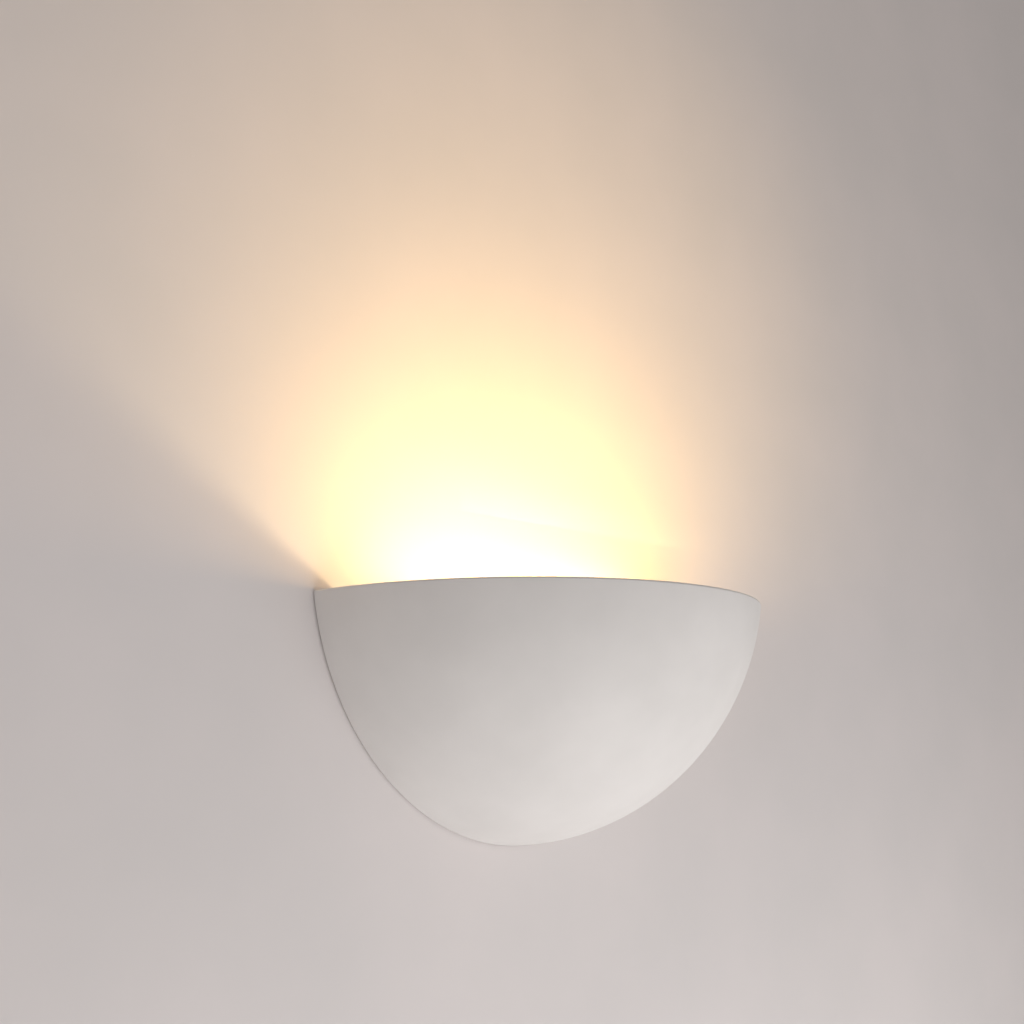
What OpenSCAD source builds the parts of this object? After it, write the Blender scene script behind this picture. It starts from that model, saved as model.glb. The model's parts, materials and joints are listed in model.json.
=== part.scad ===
// Plaster half-bowl uplighter that hangs on a steel wall bracket, with one small ball lamp.
// The wall is the plane y = 0, the fitting stands in front of it towards -Y, and +Z is up.
// The origin lies on the wall, midway between the two wall screws, level with the lamp.

/* [Shade] */
// Width of the shade across its open back
shade_w = 310; // [304:1:330]
// Distance that the rim stands out from the wall
shade_d = 150; // [140:1:165]
// Height of the shade from its rim to its lowest point
shade_h = 141; // [132:1:160]
// Height above the rim where the curve of the bowl would be widest
bulge_rise = 21; // [5:1:35]
// Thickness of the cast plaster
shade_wall = 10; // [7:0.5:12]
// Rounding of both edges of the rim
rim_round = 1.5; // [0.5:0.5:3]
// Gap between the back edge of the shade and the wall
shadow_gap = 0.8; // [0.4:0.1:2]
// Height of the rim above the wall screws
rim_rise = 50; // [48:1:60]

/* [Wall bracket] */
// Height of the bracket from its bottom lip to the top of its ledges
bracket_h = 40; // [38:1:44]
// Thickness of the bracket and the lamp arm
sheet_t = 1.5; // [1:0.1:2]
// Inner radius of every fold in the sheet steel
bend_r = 1.5; // [1:0.5:2]
// Distance between the middles of the two wall-screw slots
slot_spacing = 200; // [196:1:206]
// Length of a wall-screw slot, end to end
slot_l = 12; // [8:1:14]
// Width of a wall-screw slot
slot_w = 4.6; // [4:0.1:6]
// Width of each ledge along the wall
ledge_w = 20; // [18:1:24]
// Distance that each ledge reaches from the wall
ledge_d = 28; // [24:1:34]
// Distance that the bottom lip reaches from the wall
lip_d = 7; // [5:0.5:9]
// Height of the shoulder that rises to each ledge
shoulder_h = 5; // [4:0.5:8]
// Length by which each end of the bracket tapers towards the bottom
end_taper = 20; // [18:1:24]

/* [Cable entry] */
// Sideways place of the cable bush
cable_x = -20; // [-40:1:-15]
// Bore of the cable bush
cable_bore_r = 4; // [3:0.5:5]
// Radius of the bush where it sits in the sheet
bush_r = 7; // [6:0.5:8]
// Radius of the shoulder of the bush
bush_flange_r = 9.5; // [9:0.5:12]
// Thickness of the shoulder of the bush
bush_flange_t = 2; // [1:0.5:3]

/* [Lamp arm] */
// Sideways place of the face that carries the lampholder
arm_x = 26; // [22:1:28]
// Distance of the lamp's axis from the wall
lamp_y = 59; // [56:1:64]
// Width of the arm
arm_w = 22; // [18:1:26]
// Length of the foot that is riveted to the bracket
arm_foot = 23; // [20:1:23.5]
// Radius of the shank of a rivet
rivet_r = 2; // [1.5:0.1:2.5]
// Radius of the head of a rivet
rivet_head_r = 3.6; // [3:0.1:4]
// Distance between the two rivets
rivet_spacing = 12; // [9:1:14]

/* [Lampholder] */
// Outer radius of the lampholder
holder_r = 13.5; // [13:0.5:16]
// Length of the rear half of the lampholder
holder_base_l = 20; // [19:0.5:22]
// Length of the front half, up to the mouth
holder_skirt_l = 30; // [28:0.5:32]
// Thickness of the ceramic disc that carries the contacts
holder_core_t = 7.5; // [6:0.5:9]
// Outer radius of the hollow nipple that fixes the lampholder
nipple_r = 5; // [4.5:0.1:5.5]
// Bore of the nipple, which the wires pass through
nipple_bore_r = 3.7; // [3.2:0.1:3.9]
// Length of the nipple behind the face of the arm
nipple_tail = 8; // [7:0.5:9]
// Distance of each wire terminal from the lamp's axis
post_x = 5.5; // [5.2:0.1:5.7]

/* [Lamp] */
// Diameter of the glass ball
ball_d = 45; // [40:1:48]
// Length of the lamp from its contact to the end of the glass
lamp_l = 78; // [74:1:80]
// Thickness of the glass
glass_t = 0.8; // [0.5:0.1:1]
// Distance from the lamp's contact to its filament
light_centre = 52; // [48:1:56]
// Pitch of the lamp thread
lamp_pitch = 2.822; // [2.5:0.001:3]
// Largest radius of the thread on the lamp cap
cap_r = 6.9; // [6.7:0.05:7]
// Depth of the thread
thread_depth = 0.8; // [0.6:0.05:0.9]
// Gap between the thread of the cap and that of the lampholder
thread_gap = 0.25; // [0.2:0.05:0.35]
// Radius of the collar where the cap holds the glass
collar_r = 8.5; // [8.3:0.1:9]

/* [Hangers] */
// Thickness of the hanger plates
hanger_t = 2; // [1.5:0.1:3]
// Height of the upright leg of a hanger
hanger_h = 24; // [22:1:25]
// Depth of a hanger, front to back
hanger_d = 28; // [26:1:32]
// Distance of a hanger's rear edge from the wall
hanger_back = 4; // [3:0.5:6]
// Depth to which the front corner of a hanger's lug lies inside the shade's inner face
lug_cover = 0.8; // [0.6:0.1:3]
// Space between the end of the bracket and the shade's lug
hanger_reach = 8; // [6:0.5:9]
// Distance between the two screws of a hanger
hanger_pitch = 14; // [12:1:16]
// Height of the hanger screws above the ledge
hanger_screw_rise = 14; // [12:1:16]
// Width of the open slot for the thumb screw
notch_w = 5; // [4.4:0.1:6]

/* [Fasteners] */
// Radius of the four-millimetre screws
m4_r = 1.95; // [1.9:0.01:1.98]
// Radius of the head of a hanger screw
pan_head_r = 3.8; // [3.5:0.1:4]
// Height of the head of a hanger screw
pan_head_h = 2.6; // [2:0.1:3]
// Radius of the brass inserts in the plaster
insert_r = 3; // [2.8:0.1:3.5]
// Length of the brass inserts
insert_l = 8; // [6:0.5:9]
// Distance of the thumb screws from the wall
thumb_y = 14; // [12:0.5:16]
// Radius of the knurled head of a thumb screw
thumb_head_r = 6; // [5:0.5:8]
// Height of the knurled head of a thumb screw
thumb_head_h = 7; // [5:0.5:9]
// Length of a thumb screw below its head
thumb_l = 11; // [10:0.5:13]
// Radius of the washer of a thumb screw
washer_r = 5; // [4.5:0.5:5.5]
// Thickness of the washer of a thumb screw
washer_t = 1; // [0.8:0.1:1.2]
// Height of the nuts under the ledges
ledge_nut_h = 4.5; // [4:0.5:6]
// Radius of the nuts under the ledges
ledge_nut_r = 4; // [3.5:0.5:5]

/* [Terminal block] */
// Sideways place of the middle of the block
block_x = 65; // [64:0.5:66]
// Distance between two poles of the block
pole_pitch = 10; // [9.5:0.1:10.5]
// Height of the block
block_h = 17; // [15:0.5:17]
// Thickness of the block from back to front
block_d = 13; // [12:0.5:13]
// Height of the pressed bosses that carry the block
boss_h = 2; // [1.5:0.5:2.5]
// Radius of the small screws
m3_r = 1.45; // [1.2:0.05:1.5]

/* [Earth point] */
// Sideways place of the earth stud
earth_x = 89; // [88:0.5:91]
// Height of the earth stud
earth_z = -5; // [-6:0.5:-4]
// Radius of the ring of the earth tag
tag_ring_r = 4; // [3.6:0.1:4.5]
// Thickness of the earth tag
tag_t = 0.8; // [0.6:0.1:1]

/* [Wires] */
// Diameter of a wire over its insulation
wire_d = 2.2; // [1.8:0.1:2.3]

/* [Hidden] */
$fn = 64;

// Radial play of a fixed pin in its hole, and of a screw in its nut
pin_play = 0.05;
// Radial play between a turned skin, which has flat sides, and the piece inside it
skin_play = 0.15;
// How far a cutting shape runs past the face that it cuts
over = 1;

// Shade: the profile is an ellipse round an axis that may lie a little behind the wall
shade_a = shade_w / 2;
axis_y = (shade_a * shade_a - shade_d * shade_d) / (2 * shade_d);
rim_r = shade_d + axis_y;
bowl_v = shade_h + bulge_rise;
bowl_u = rim_r / sqrt(1 - pow(bulge_rise / bowl_v, 2));
profile_steps = 32;
lug_margin = 5;
ledge_z = bracket_h / 2;
ledge_depth = rim_rise - ledge_z;

// Inner radius of the shade level with the ledges, and from it the place of the lugs
inner_r = (bowl_u - shade_wall) * sqrt(1 - pow((bulge_rise + ledge_depth) / (bowl_v - shade_wall), 2));
lug_x = sqrt(inner_r * inner_r - pow(hanger_back + hanger_d + axis_y, 2)) - lug_cover;

// Bracket
fold_r = bend_r + sheet_t;
bracket_end = lug_x - hanger_reach;
ledge_mid_x = bracket_end - ledge_w / 2;
web_top = ledge_z - shoulder_h;
web_foot = fold_r - ledge_z;
lip_half = bracket_end - end_taper;

// Arm and lampholder, measured along the lamp's axis from the face of the arm
nipple_in = 6;
holder_wall = 2;
holder_floor = 4;
spigot_l = 4;
spigot_t = 0.9;
step_w = 1.1;
core_front = holder_base_l + holder_core_t;
holder_mouth = holder_base_l + holder_skirt_l;
flange_t = 0.7;
shell_wall = 0.5;
shell_end = holder_mouth - 3;
nut_across = 14;
nut_t = 3;
tooth_washer_t = 0.7;
post_size = [5, 6, 6];
post_bore_r = 1.3;
post_stud_r = 1;
post_screw_r = 1.2;
post_head_r = 2.1;
post_head_h = 1.4;
contact_w = 4;
contact_t = 0.6;
contact_lift = 3.2;
seat_gap = 0.3;

// Lamp, measured from its contact
lamp_start = core_front + contact_lift + seat_gap;
thread_seg = 30;
thread_rows = 6;
cap_minor = cap_r - thread_depth;
shell_major = cap_r + thread_gap;
pip_h = 1.6;
pip_r = 2.4;
insulator_l = 3.4;
cap_thread_start = 5.2;
cap_thread_end = 16.6;
cap_l = 25;
cap_wall = 0.5;
cap_flare = 1.2;
collar_l = 3;
glass_seat = cap_l - collar_l + 0.3;
neck_r = collar_r - 0.6;
neck_fillet = 18;
ball_r = ball_d / 2;
ball_c = lamp_l - ball_r;
neck_top = ball_c - sqrt(pow(ball_r + neck_fillet, 2) - pow(neck_r + neck_fillet, 2));
fillet_angle = acos((neck_r + neck_fillet) / (ball_r + neck_fillet));
glass_steps = 24;
fillet_steps = 8;
flare_r = neck_r - glass_t - 0.1;
stem_r = 3;
stem_rod_r = 0.9;
filament_rise = 14;
stem_rod_l = 6;
stem_top = light_centre - filament_rise;
stem_tip = stem_top + stem_rod_l;
lead_r = 0.35;
lead_root = 1.4;
support_r = 0.2;
filament_r = 0.6;
filament_span = 10;

// Hangers and their screws
hanger_mid_y = -hanger_back - hanger_d / 2;
hanger_fold = hanger_t + 1;

// Terminal block, whose middle is level with the lamp
poles = 3;
block_back = sheet_t + boss_h;
block_y = -block_back - block_d / 2;
block_w = poles * pole_pitch;
boss_r = 2.6;
tube_r = 2.4;
tube_bore_r = 1.4;
tube_end_gap = 1;
entry_r = 1.7;
clamp_screw_r = 1.3;
clamp_head_r = 1.9;
clamp_reach = 4.5;
fixing_head_r = 2.5;
fixing_head_h = 1.8;

// Earth point
stud_l = 9;
barrel_r = 1.9;
barrel_bore_r = 1.3;
barrel_l = 6;
barrel_z = earth_z + tag_ring_r + 2;
barrel_y = -sheet_t - barrel_r;
earth_washer_t = 0.8;
earth_nut_h = 3.2;
earth_nut_across = 7;

// Routes of the wires: points told from the rear of the lampholder, then from the far end
holder_rear = [arm_x, -lamp_y, 0];
post_end = 2 - holder_base_l;
live_end = [block_x - pole_pitch, block_y, 0];
neutral_end = [block_x, block_y, 0];
earth_start = [block_x + pole_pitch, block_y, 0];
earth_end = [earth_x, barrel_y, barrel_z];
live_route = concat(
    from_point(holder_rear, [
        [post_end, 0, post_x], [post_end + 4, 0, post_x], [-10, 0, 3.5], [-6, 0, 1.5],
        [2, 0, 1.5], [9, 0, 1.5], [15, 3, 4], [21, 11, 9],
    ]),
    from_point(live_end, [[-3, -27, 15], [-0.5, -12, 20], [0, -3, 18.5], [0, 0, 12], [0, 0, 5]])
);
neutral_route = concat(
    from_point(holder_rear, [
        [post_end, 0, -post_x], [post_end + 4, 0, -post_x], [-10, 0, -3.5], [-6, 0, -1.5],
        [2, 0, -1.5], [9, 0, -1.5], [17, 2, -1], [26, 8, 2],
    ]),
    from_point(neutral_end, [[-5, -32, 9], [-0.5, -16, 17], [0, -4, 19], [0, 0, 12.5], [0, 0, 5]])
);
earth_route = concat(
    from_point(earth_start, [[0, 0, 5], [0, 0, 12], [3, -0.5, 17.5], [9, 1, 18.5]]),
    from_point(earth_end, [[-2, -1.6, 15], [0, 0, 10], [0, 0, 6], [0, 0, 2]])
);
wire_sides = 8;

// ---- Helpers ----

// A list of offsets turned into points, counted from p
function from_point(p, offsets) = [for (q = offsets) p + q];

// Radius and height of a point on the shade's profile, set in from the outer face
function bowl_point(inset, a) =
    [(bowl_u - inset) * cos(a), bulge_rise + (bowl_v - inset) * sin(a)];

// Angle on the profile that lies a given depth below the rim
function bowl_angle(inset, depth) = asin((-bulge_rise - depth) / (bowl_v - inset));

// The profile from the axis up to a given depth below the rim
function bowl_curve(inset, depth) = [
    for (i = [0:profile_steps])
        bowl_point(inset, -90 + (90 + bowl_angle(inset, depth)) * i / profile_steps)
];

// A quarter circle of the rim's rounding round a centre
function rim_arc(centre, from) = [
    for (i = [1:4]) centre + rim_round * [cos(from + 90 * i / 4), sin(from + 90 * i / 4)]
];

function reversed(list) = [for (i = [len(list) - 1:-1:0]) list[i]];

// Point between b and c on a smooth curve through a, b, c and d
function curve_point(a, b, c, d, t) =
    0.5 * (2 * b + (c - a) * t + (2 * a - 5 * b + 4 * c - d) * t * t
        + (3 * b - a - 3 * c + d) * t * t * t);

// A route with one more point between every two
function smooth_route(p) = [
    for (i = [0:len(p) - 2])
        for (t = [0, 0.5])
            curve_point(p[max(i - 1, 0)], p[i], p[i + 1], p[min(i + 2, len(p) - 1)], t),
    p[len(p) - 1]
];

function unit(v) = v / norm(v);

// Direction of a route at its point i
function heading(p, i) = unit(p[min(i + 1, len(p) - 1)] - p[max(i - 1, 0)]);

// Plain rectangle with round corners, centred
module round_rect(w, h, r) {
    square([w - 2 * r, h], center = true);
    square([w, h - 2 * r], center = true);
    for (x = [-1, 1], y = [-1, 1])
        translate([x * (w / 2 - r), y * (h / 2 - r)]) circle(r = r);
}

// Puts an outline drawn in x and z on the wall side and gives it a thickness towards -Y
module from_wall(y0, t) {
    translate([0, -y0, 0]) rotate([90, 0, 0]) linear_extrude(t) children();
}

// Round bar that runs towards -Y from a distance off the wall
module wall_pin(x, z, y0, l, r) {
    translate([x, -y0, z]) rotate([90, 0, 0]) cylinder(r = r, h = l);
}

// Cutter for a level slot through the sheet, with round ends
module wall_slot() {
    reach = (slot_l - slot_w) / 2;
    translate([-reach, -sheet_t - over, -slot_w / 2]) cube([2 * reach, sheet_t + 2 * over, slot_w]);
    for (s = [-1, 1]) wall_pin(s * reach, 0, -over, sheet_t + 2 * over, slot_w / 2);
}

// Round bar between two points
module rod(a, b, r) {
    v = b - a;
    translate(a) rotate([0, acos(v[2] / norm(v)), atan2(v[1], v[0])]) cylinder(r = r, h = norm(v));
}

// Places children along the lamp's axis: their +Z runs out of the lampholder, their +X is up
module on_lamp_axis(start = 0) {
    translate([arm_x - start, -lamp_y, 0]) rotate([0, -90, 0]) children();
}

// Folded corner strip: an L outline with legs a and b, outer corner at the origin
module fold_outline(a, b, t, r) {
    intersection() {
        translate([r, r]) difference() {
            circle(r = r);
            circle(r = r - t);
        }
        square([r, r]);
    }
    translate([r, 0]) square([a - r, t]);
    translate([0, r]) square([t, b - r]);
}

// Closed skin of rows [height, radius, thread swing]; thread_zero is where the lamp's thread is counted from
module turned_skin(rows, thread_zero = 0) {
    n = thread_seg;
    m = len(rows);
    points = [
        for (row = rows)
            for (i = [0:n - 1])
                let (
                    a = 360 * i / n,
                    r = row[1] + row[2] * cos(360 * (row[0] - thread_zero) / lamp_pitch - a)
                ) [r * cos(a), r * sin(a), row[0]]
    ];
    faces = [
        for (j = [0:m - 1])
            for (i = [0:n - 1])
                let (k = (j + 1) % m, q = (i + 1) % n)
                    each [[j * n + i, k * n + i, k * n + q], [j * n + i, k * n + q, j * n + q]]
    ];
    polyhedron(points, faces, convexity = 8);
}

// Rows of a thread from one height to another, with its swing held off at both ends
function thread_curve(from, to, crest, fade_to) =
    let (count = ceil((to - from) / lamp_pitch * thread_rows)) [
        for (i = [0:count])
            let (
                z = from + (to - from) * i / count,
                fade = min(1, min(z - from, to - z) / lamp_pitch * 2),
                mid = crest - thread_depth / 2
            ) [z, mid * fade + fade_to * (1 - fade), thread_depth / 2 * fade]
    ];

// Insulated wire swept along a route; the side vector is never parallel to the route
module wire(route, side) {
    p = smooth_route(route);
    n = len(p);
    points = [
        for (i = [0:n - 1])
            let (h = heading(p, i), u = unit(cross(h, side)), v = cross(h, u))
                for (k = [0:wire_sides - 1])
                    p[i] + wire_d / 2 * (cos(360 * k / wire_sides) * u + sin(360 * k / wire_sides) * v)
    ];
    faces = [
        [for (k = [0:wire_sides - 1]) k],
        for (i = [0:n - 2])
            for (k = [0:wire_sides - 1])
                let (a = i * wire_sides + k, b = i * wire_sides + (k + 1) % wire_sides)
                    each [[a, a + wire_sides, b], [b, a + wire_sides, b + wire_sides]],
        [for (k = [wire_sides - 1:-1:0]) (n - 1) * wire_sides + k]
    ];
    polyhedron(points, faces, convexity = 8);
}

// ---- Wall bracket and cable entry ----

// Folded from one strip of zinc-plated sheet steel
module wall_bracket() {
    color("silver") difference() {
        union() {
            from_wall(0, sheet_t) polygon([
                [-lip_half, web_foot], [lip_half, web_foot], [bracket_end, 0],
                [bracket_end, web_top], [-bracket_end, web_top], [-bracket_end, 0]
            ]);
            for (s = [-1, 1])
                translate([s * ledge_mid_x - ledge_w / 2, 0, ledge_z]) rotate([90, 90, 90])
                    linear_extrude(ledge_w) mirror([0, 1])
                        fold_outline(shoulder_h + fold_r, ledge_d, sheet_t, fold_r);
            translate([-lip_half, 0, -ledge_z]) rotate([90, 0, 90])
                linear_extrude(2 * lip_half) mirror([1, 0])
                    fold_outline(lip_d, 2 * fold_r, sheet_t, fold_r);
            for (s = [-1, 1])
                wall_pin(block_x + s * pole_pitch / 2, 0, sheet_t, boss_h, boss_r);
        }
        for (s = [-1, 1]) {
            translate([s * slot_spacing / 2, 0, 0]) wall_slot();
            wall_pin(block_x + s * pole_pitch / 2, 0, -over, sheet_t + boss_h + 2 * over, m3_r + pin_play);
            wall_pin(arm_x + arm_foot * 0.7, s * rivet_spacing / 2, -over, sheet_t + 2 * over,
                rivet_r + pin_play);
            translate([s * ledge_mid_x, -thumb_y, ledge_z - sheet_t - over])
                cylinder(r = m4_r + pin_play, h = sheet_t + 2 * over);
        }
        wall_pin(cable_x, 0, -over, sheet_t + 2 * over, bush_r + pin_play);
        wall_pin(earth_x, earth_z, -over, sheet_t + 2 * over, m4_r + pin_play);
    }
}

// Round clinch nuts pressed into the ledges from below
module ledge_nuts() {
    color("gainsboro") for (s = [-1, 1])
        translate([s * ledge_mid_x, -thumb_y, ledge_z - sheet_t - ledge_nut_h]) difference() {
            cylinder(r = ledge_nut_r, h = ledge_nut_h);
            translate([0, 0, -over]) cylinder(r = m4_r + pin_play, h = ledge_nut_h + 2 * over);
        }
}

// Black nylon bush that guards the supply cable where it comes through the sheet
module cable_bush() {
    color("dimgray") difference() {
        union() {
            wall_pin(cable_x, 0, 0, sheet_t, bush_r);
            wall_pin(cable_x, 0, sheet_t, bush_flange_t, bush_flange_r);
        }
        wall_pin(cable_x, 0, -over, sheet_t + bush_flange_t + 2 * over, cable_bore_r);
    }
}

// ---- Lamp arm ----

// Folded steel arm that holds the lampholder out from the wall
module lamp_arm() {
    color("silver") difference() {
        union() {
            translate([arm_x, -sheet_t, -arm_w / 2]) mirror([0, 1, 0])
                linear_extrude(arm_w) fold_outline(arm_foot, lamp_y - sheet_t, sheet_t, fold_r);
            translate([arm_x, -lamp_y, 0]) rotate([0, 90, 0]) cylinder(r = arm_w / 2, h = sheet_t);
        }
        translate([arm_x - over, -lamp_y, 0]) rotate([0, 90, 0])
            cylinder(r = nipple_r + pin_play, h = sheet_t + 2 * over);
        for (s = [-1, 1])
            wall_pin(arm_x + arm_foot * 0.7, s * rivet_spacing / 2, -over, 2 * sheet_t + 2 * over,
                rivet_r + pin_play);
    }
}

// Two domed rivets, flush with the back of the bracket
module arm_rivets() {
    color("lightgray") for (s = [-1, 1])
        translate([arm_x + arm_foot * 0.7, 0, s * rivet_spacing / 2]) rotate([90, 0, 0])
            rotate_extrude() polygon([
                [0, 0], [rivet_r, 0], [rivet_r, 2 * sheet_t], [rivet_head_r, 2 * sheet_t],
                for (a = [15:15:90]) [rivet_head_r * cos(a), 2 * sheet_t + rivet_head_r * 0.6 * sin(a)]
            ]);
}

// ---- Lampholder ----

// Hollow threaded nipple through the arm and the rear of the lampholder
module holder_nipple() {
    color("gainsboro") on_lamp_axis(-nipple_tail) difference() {
        cylinder(r = nipple_r, h = nipple_tail + nipple_in);
        translate([0, 0, -over]) cylinder(r = nipple_bore_r, h = nipple_tail + nipple_in + 2 * over);
    }
}

// Toothed washer between the arm and the nut
module nipple_washer() {
    color("darkgray") on_lamp_axis(-sheet_t - tooth_washer_t) difference() {
        cylinder(r = nut_across / 2 + 0.5, h = tooth_washer_t);
        translate([0, 0, -over]) cylinder(r = nipple_r + pin_play, h = tooth_washer_t + 2 * over);
    }
}

// Thin hexagon nut behind the arm
module nipple_nut() {
    color("gainsboro") on_lamp_axis(-sheet_t - tooth_washer_t - nut_t) difference() {
        cylinder(r = nut_across / 2 / cos(30), h = nut_t, $fn = 6);
        translate([0, 0, -over]) cylinder(r = nipple_r + pin_play, h = nut_t + 2 * over);
    }
}

// Rear half of the lampholder, with the threaded entry and a step for the contact disc
module holder_base() {
    inner = holder_r - holder_wall;
    color("whitesmoke") on_lamp_axis() rotate_extrude() polygon([
        [nipple_r + pin_play, 0], [holder_r - 4, 0], [holder_r, 5], [holder_r, holder_base_l],
        [inner + spigot_t, holder_base_l], [inner + spigot_t, holder_base_l + spigot_l],
        [inner, holder_base_l + spigot_l], [inner, holder_base_l], [inner - step_w, holder_base_l],
        [inner - step_w, holder_floor], [nipple_r + 3, holder_floor], [nipple_r + 3, nipple_in + 1],
        [nipple_r + pin_play, nipple_in + 1]
    ]);
}

// Ceramic disc that carries the contacts
module holder_core() {
    color("ivory") on_lamp_axis(holder_base_l) difference() {
        cylinder(r = holder_r - holder_wall - 0.1, h = holder_core_t);
        for (s = [-1, 1]) translate([s * post_x, 0, -over])
            cylinder(r = post_stud_r + pin_play, h = holder_core_t + 2 * over);
    }
}

// Two brass terminals whose studs pass through the disc, one to the tongue, one to the thread shell
module holder_posts() {
    tab_l = shell_major - 0.1 - post_x;
    color("goldenrod") on_lamp_axis(holder_base_l) {
        for (s = [-1, 1]) translate([s * post_x, 0, 0]) {
            difference() {
                translate([-post_size[0] / 2, -post_size[1] / 2, -post_size[2]]) cube(post_size);
                translate([0, 0, -post_size[2] - over]) cylinder(r = post_bore_r, h = post_size[2]);
                translate([0, 0, -post_size[2] / 2]) rotate([0, s * 90, 0])
                    cylinder(r = post_screw_r + pin_play, h = post_size[0]);
            }
            cylinder(r = post_stud_r, h = holder_core_t);
        }
        translate([-post_x - tab_l, -post_stud_r, holder_core_t])
            cube([tab_l + post_stud_r, 2 * post_stud_r, flange_t]);
    }
}

// The two screws that clamp the wires in those terminals
module holder_post_screws() {
    color("gainsboro") on_lamp_axis(holder_base_l - post_size[2] / 2) for (s = [-1, 1])
        translate([s * post_x, 0, 0]) rotate([0, s * 90, 0]) {
            translate([0, 0, wire_d / 2 + seat_gap])
                cylinder(r = post_screw_r, h = post_size[0] / 2 - wire_d / 2 - seat_gap);
            translate([0, 0, post_size[0] / 2]) cylinder(r = post_head_r, h = post_head_h);
        }
}

// Bent bronze tongue that presses on the lamp's contact
module holder_contact() {
    color("peru") on_lamp_axis(core_front) translate([0, contact_w / 2, 0]) rotate([90, 0, 0])
        linear_extrude(contact_w) polygon([
            [post_x + 1, 0], [post_x + 1, contact_t], [post_x - 2, contact_t],
            [1.5, contact_lift], [-1.5, contact_lift], [-1.5, contact_lift - contact_t],
            [1.2, contact_lift - contact_t], [post_x - 2.2, 0]
        ]);
}

// Brass shell with the rolled thread that takes the lamp cap
module holder_thread_shell() {
    outer = shell_major + shell_wall;
    flange_r = holder_r - holder_wall - step_w;
    inner = thread_curve(core_front + flange_t, shell_end, shell_major, shell_major);
    color("khaki") on_lamp_axis() turned_skin([
        [core_front, shell_major, 0], [core_front, flange_r, 0],
        [core_front + flange_t, flange_r, 0], [core_front + flange_t, outer, 0],
        [shell_end, outer, 0], each reversed(inner)
    ], lamp_start);
}

// Front half of the lampholder, which screws over the rear half
module holder_skirt() {
    inner = holder_r - holder_wall;
    spigot = inner + spigot_t + skin_play;
    throat = collar_r + skin_play;
    shoulder = core_front + flange_t + 0.1;
    color("whitesmoke") on_lamp_axis() turned_skin([
        [holder_base_l, spigot, 0], [holder_base_l, holder_r, 0],
        [holder_mouth - 2, holder_r, 0], [holder_mouth, holder_r - 1, 0],
        [holder_mouth, throat, 0], [shoulder, throat, 0], [shoulder, inner, 0],
        [holder_base_l + spigot_l + 0.1, inner, 0], [holder_base_l + spigot_l + 0.1, spigot, 0]
    ]);
}

// ---- Terminal block ----

// Moulded three-pole block, open above and below each pole and in front of each screw
module terminal_body() {
    color("white") difference() {
        from_wall(block_back, block_d) translate([block_x, 0]) round_rect(block_w, block_h, 1);
        for (i = [-1:1]) translate([block_x + i * pole_pitch, block_y, 0]) {
            cylinder(r = tube_r + pin_play, h = block_h - 2 * tube_end_gap, center = true);
            cylinder(r = entry_r + 0.3, h = block_h + 2 * over, center = true);
            for (s = [-1, 1]) translate([0, 0, s * clamp_reach]) rotate([90, 0, 0])
                cylinder(r = clamp_head_r + 0.2, h = block_d);
        }
        for (s = [-1, 1]) {
            wall_pin(block_x + s * pole_pitch / 2, 0, sheet_t, block_d + 2 * boss_h, m3_r + pin_play);
            wall_pin(block_x + s * pole_pitch / 2, 0, block_back + block_d / 2, block_d,
                fixing_head_r + 0.2);
        }
    }
}

// Brass tubes that join the wires, one in each pole
module terminal_tubes() {
    color("goldenrod") for (i = [-1:1]) translate([block_x + i * pole_pitch, block_y, 0])
        difference() {
            cylinder(r = tube_r, h = block_h - 2 * tube_end_gap - 0.2, center = true);
            cylinder(r = tube_bore_r, h = block_h + 2 * over, center = true);
            for (s = [-1, 1]) translate([0, 0, s * clamp_reach]) rotate([90, 0, 0])
                cylinder(r = clamp_screw_r + pin_play, h = block_d);
        }
}

// Two clamping screws in each tube
module terminal_screws() {
    start = wire_d / 2 + seat_gap;
    color("gainsboro") for (i = [-1:1], s = [-1, 1])
        translate([block_x + i * pole_pitch, block_y, s * clamp_reach]) rotate([90, 0, 0]) {
            translate([0, 0, start]) cylinder(r = clamp_screw_r, h = tube_r + 0.6 - start);
            translate([0, 0, tube_r + 0.6]) cylinder(r = clamp_head_r, h = 1.5);
        }
}

// Screws that hold the block on the pressed bosses of the bracket
module terminal_fixing_screws() {
    color("silver") for (s = [-1, 1]) {
        wall_pin(block_x + s * pole_pitch / 2, 0, 0.3, block_back + block_d / 2 - 0.3, m3_r);
        wall_pin(block_x + s * pole_pitch / 2, 0, block_back + block_d / 2, fixing_head_h, fixing_head_r);
    }
}

// ---- Earth point ----

// Threaded stud pressed through the bracket, flush with its back
module earth_stud() {
    color("goldenrod") wall_pin(earth_x, earth_z, 0, stud_l, m4_r);
}

// Tinned ring tag with the tube that is crimped on the earth wire
module earth_tag() {
    color("lightgray") difference() {
        union() {
            from_wall(sheet_t, tag_t) translate([earth_x, earth_z]) {
                circle(r = tag_ring_r);
                translate([-barrel_r, 0]) square([2 * barrel_r, barrel_z - earth_z + 1]);
            }
            translate([earth_x, barrel_y, barrel_z]) cylinder(r = barrel_r, h = barrel_l);
        }
        wall_pin(earth_x, earth_z, 0, sheet_t + tag_t + over, m4_r + 0.15);
        translate([earth_x, barrel_y, barrel_z + over]) cylinder(r = barrel_bore_r, h = barrel_l);
    }
}

// Toothed washer under the earth nut
module earth_washer() {
    color("darkgray") difference() {
        wall_pin(earth_x, earth_z, sheet_t + tag_t, earth_washer_t, tag_ring_r);
        wall_pin(earth_x, earth_z, sheet_t, tag_t + earth_washer_t + over, m4_r + 0.15);
    }
}

// Hexagon nut on the earth stud
module earth_nut() {
    color("goldenrod") from_wall(sheet_t + tag_t + earth_washer_t, earth_nut_h)
        translate([earth_x, earth_z]) difference() {
            circle(r = earth_nut_across / 2 / cos(30), $fn = 6);
            circle(r = m4_r + pin_play);
        }
}

// ---- Wires ----

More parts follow.
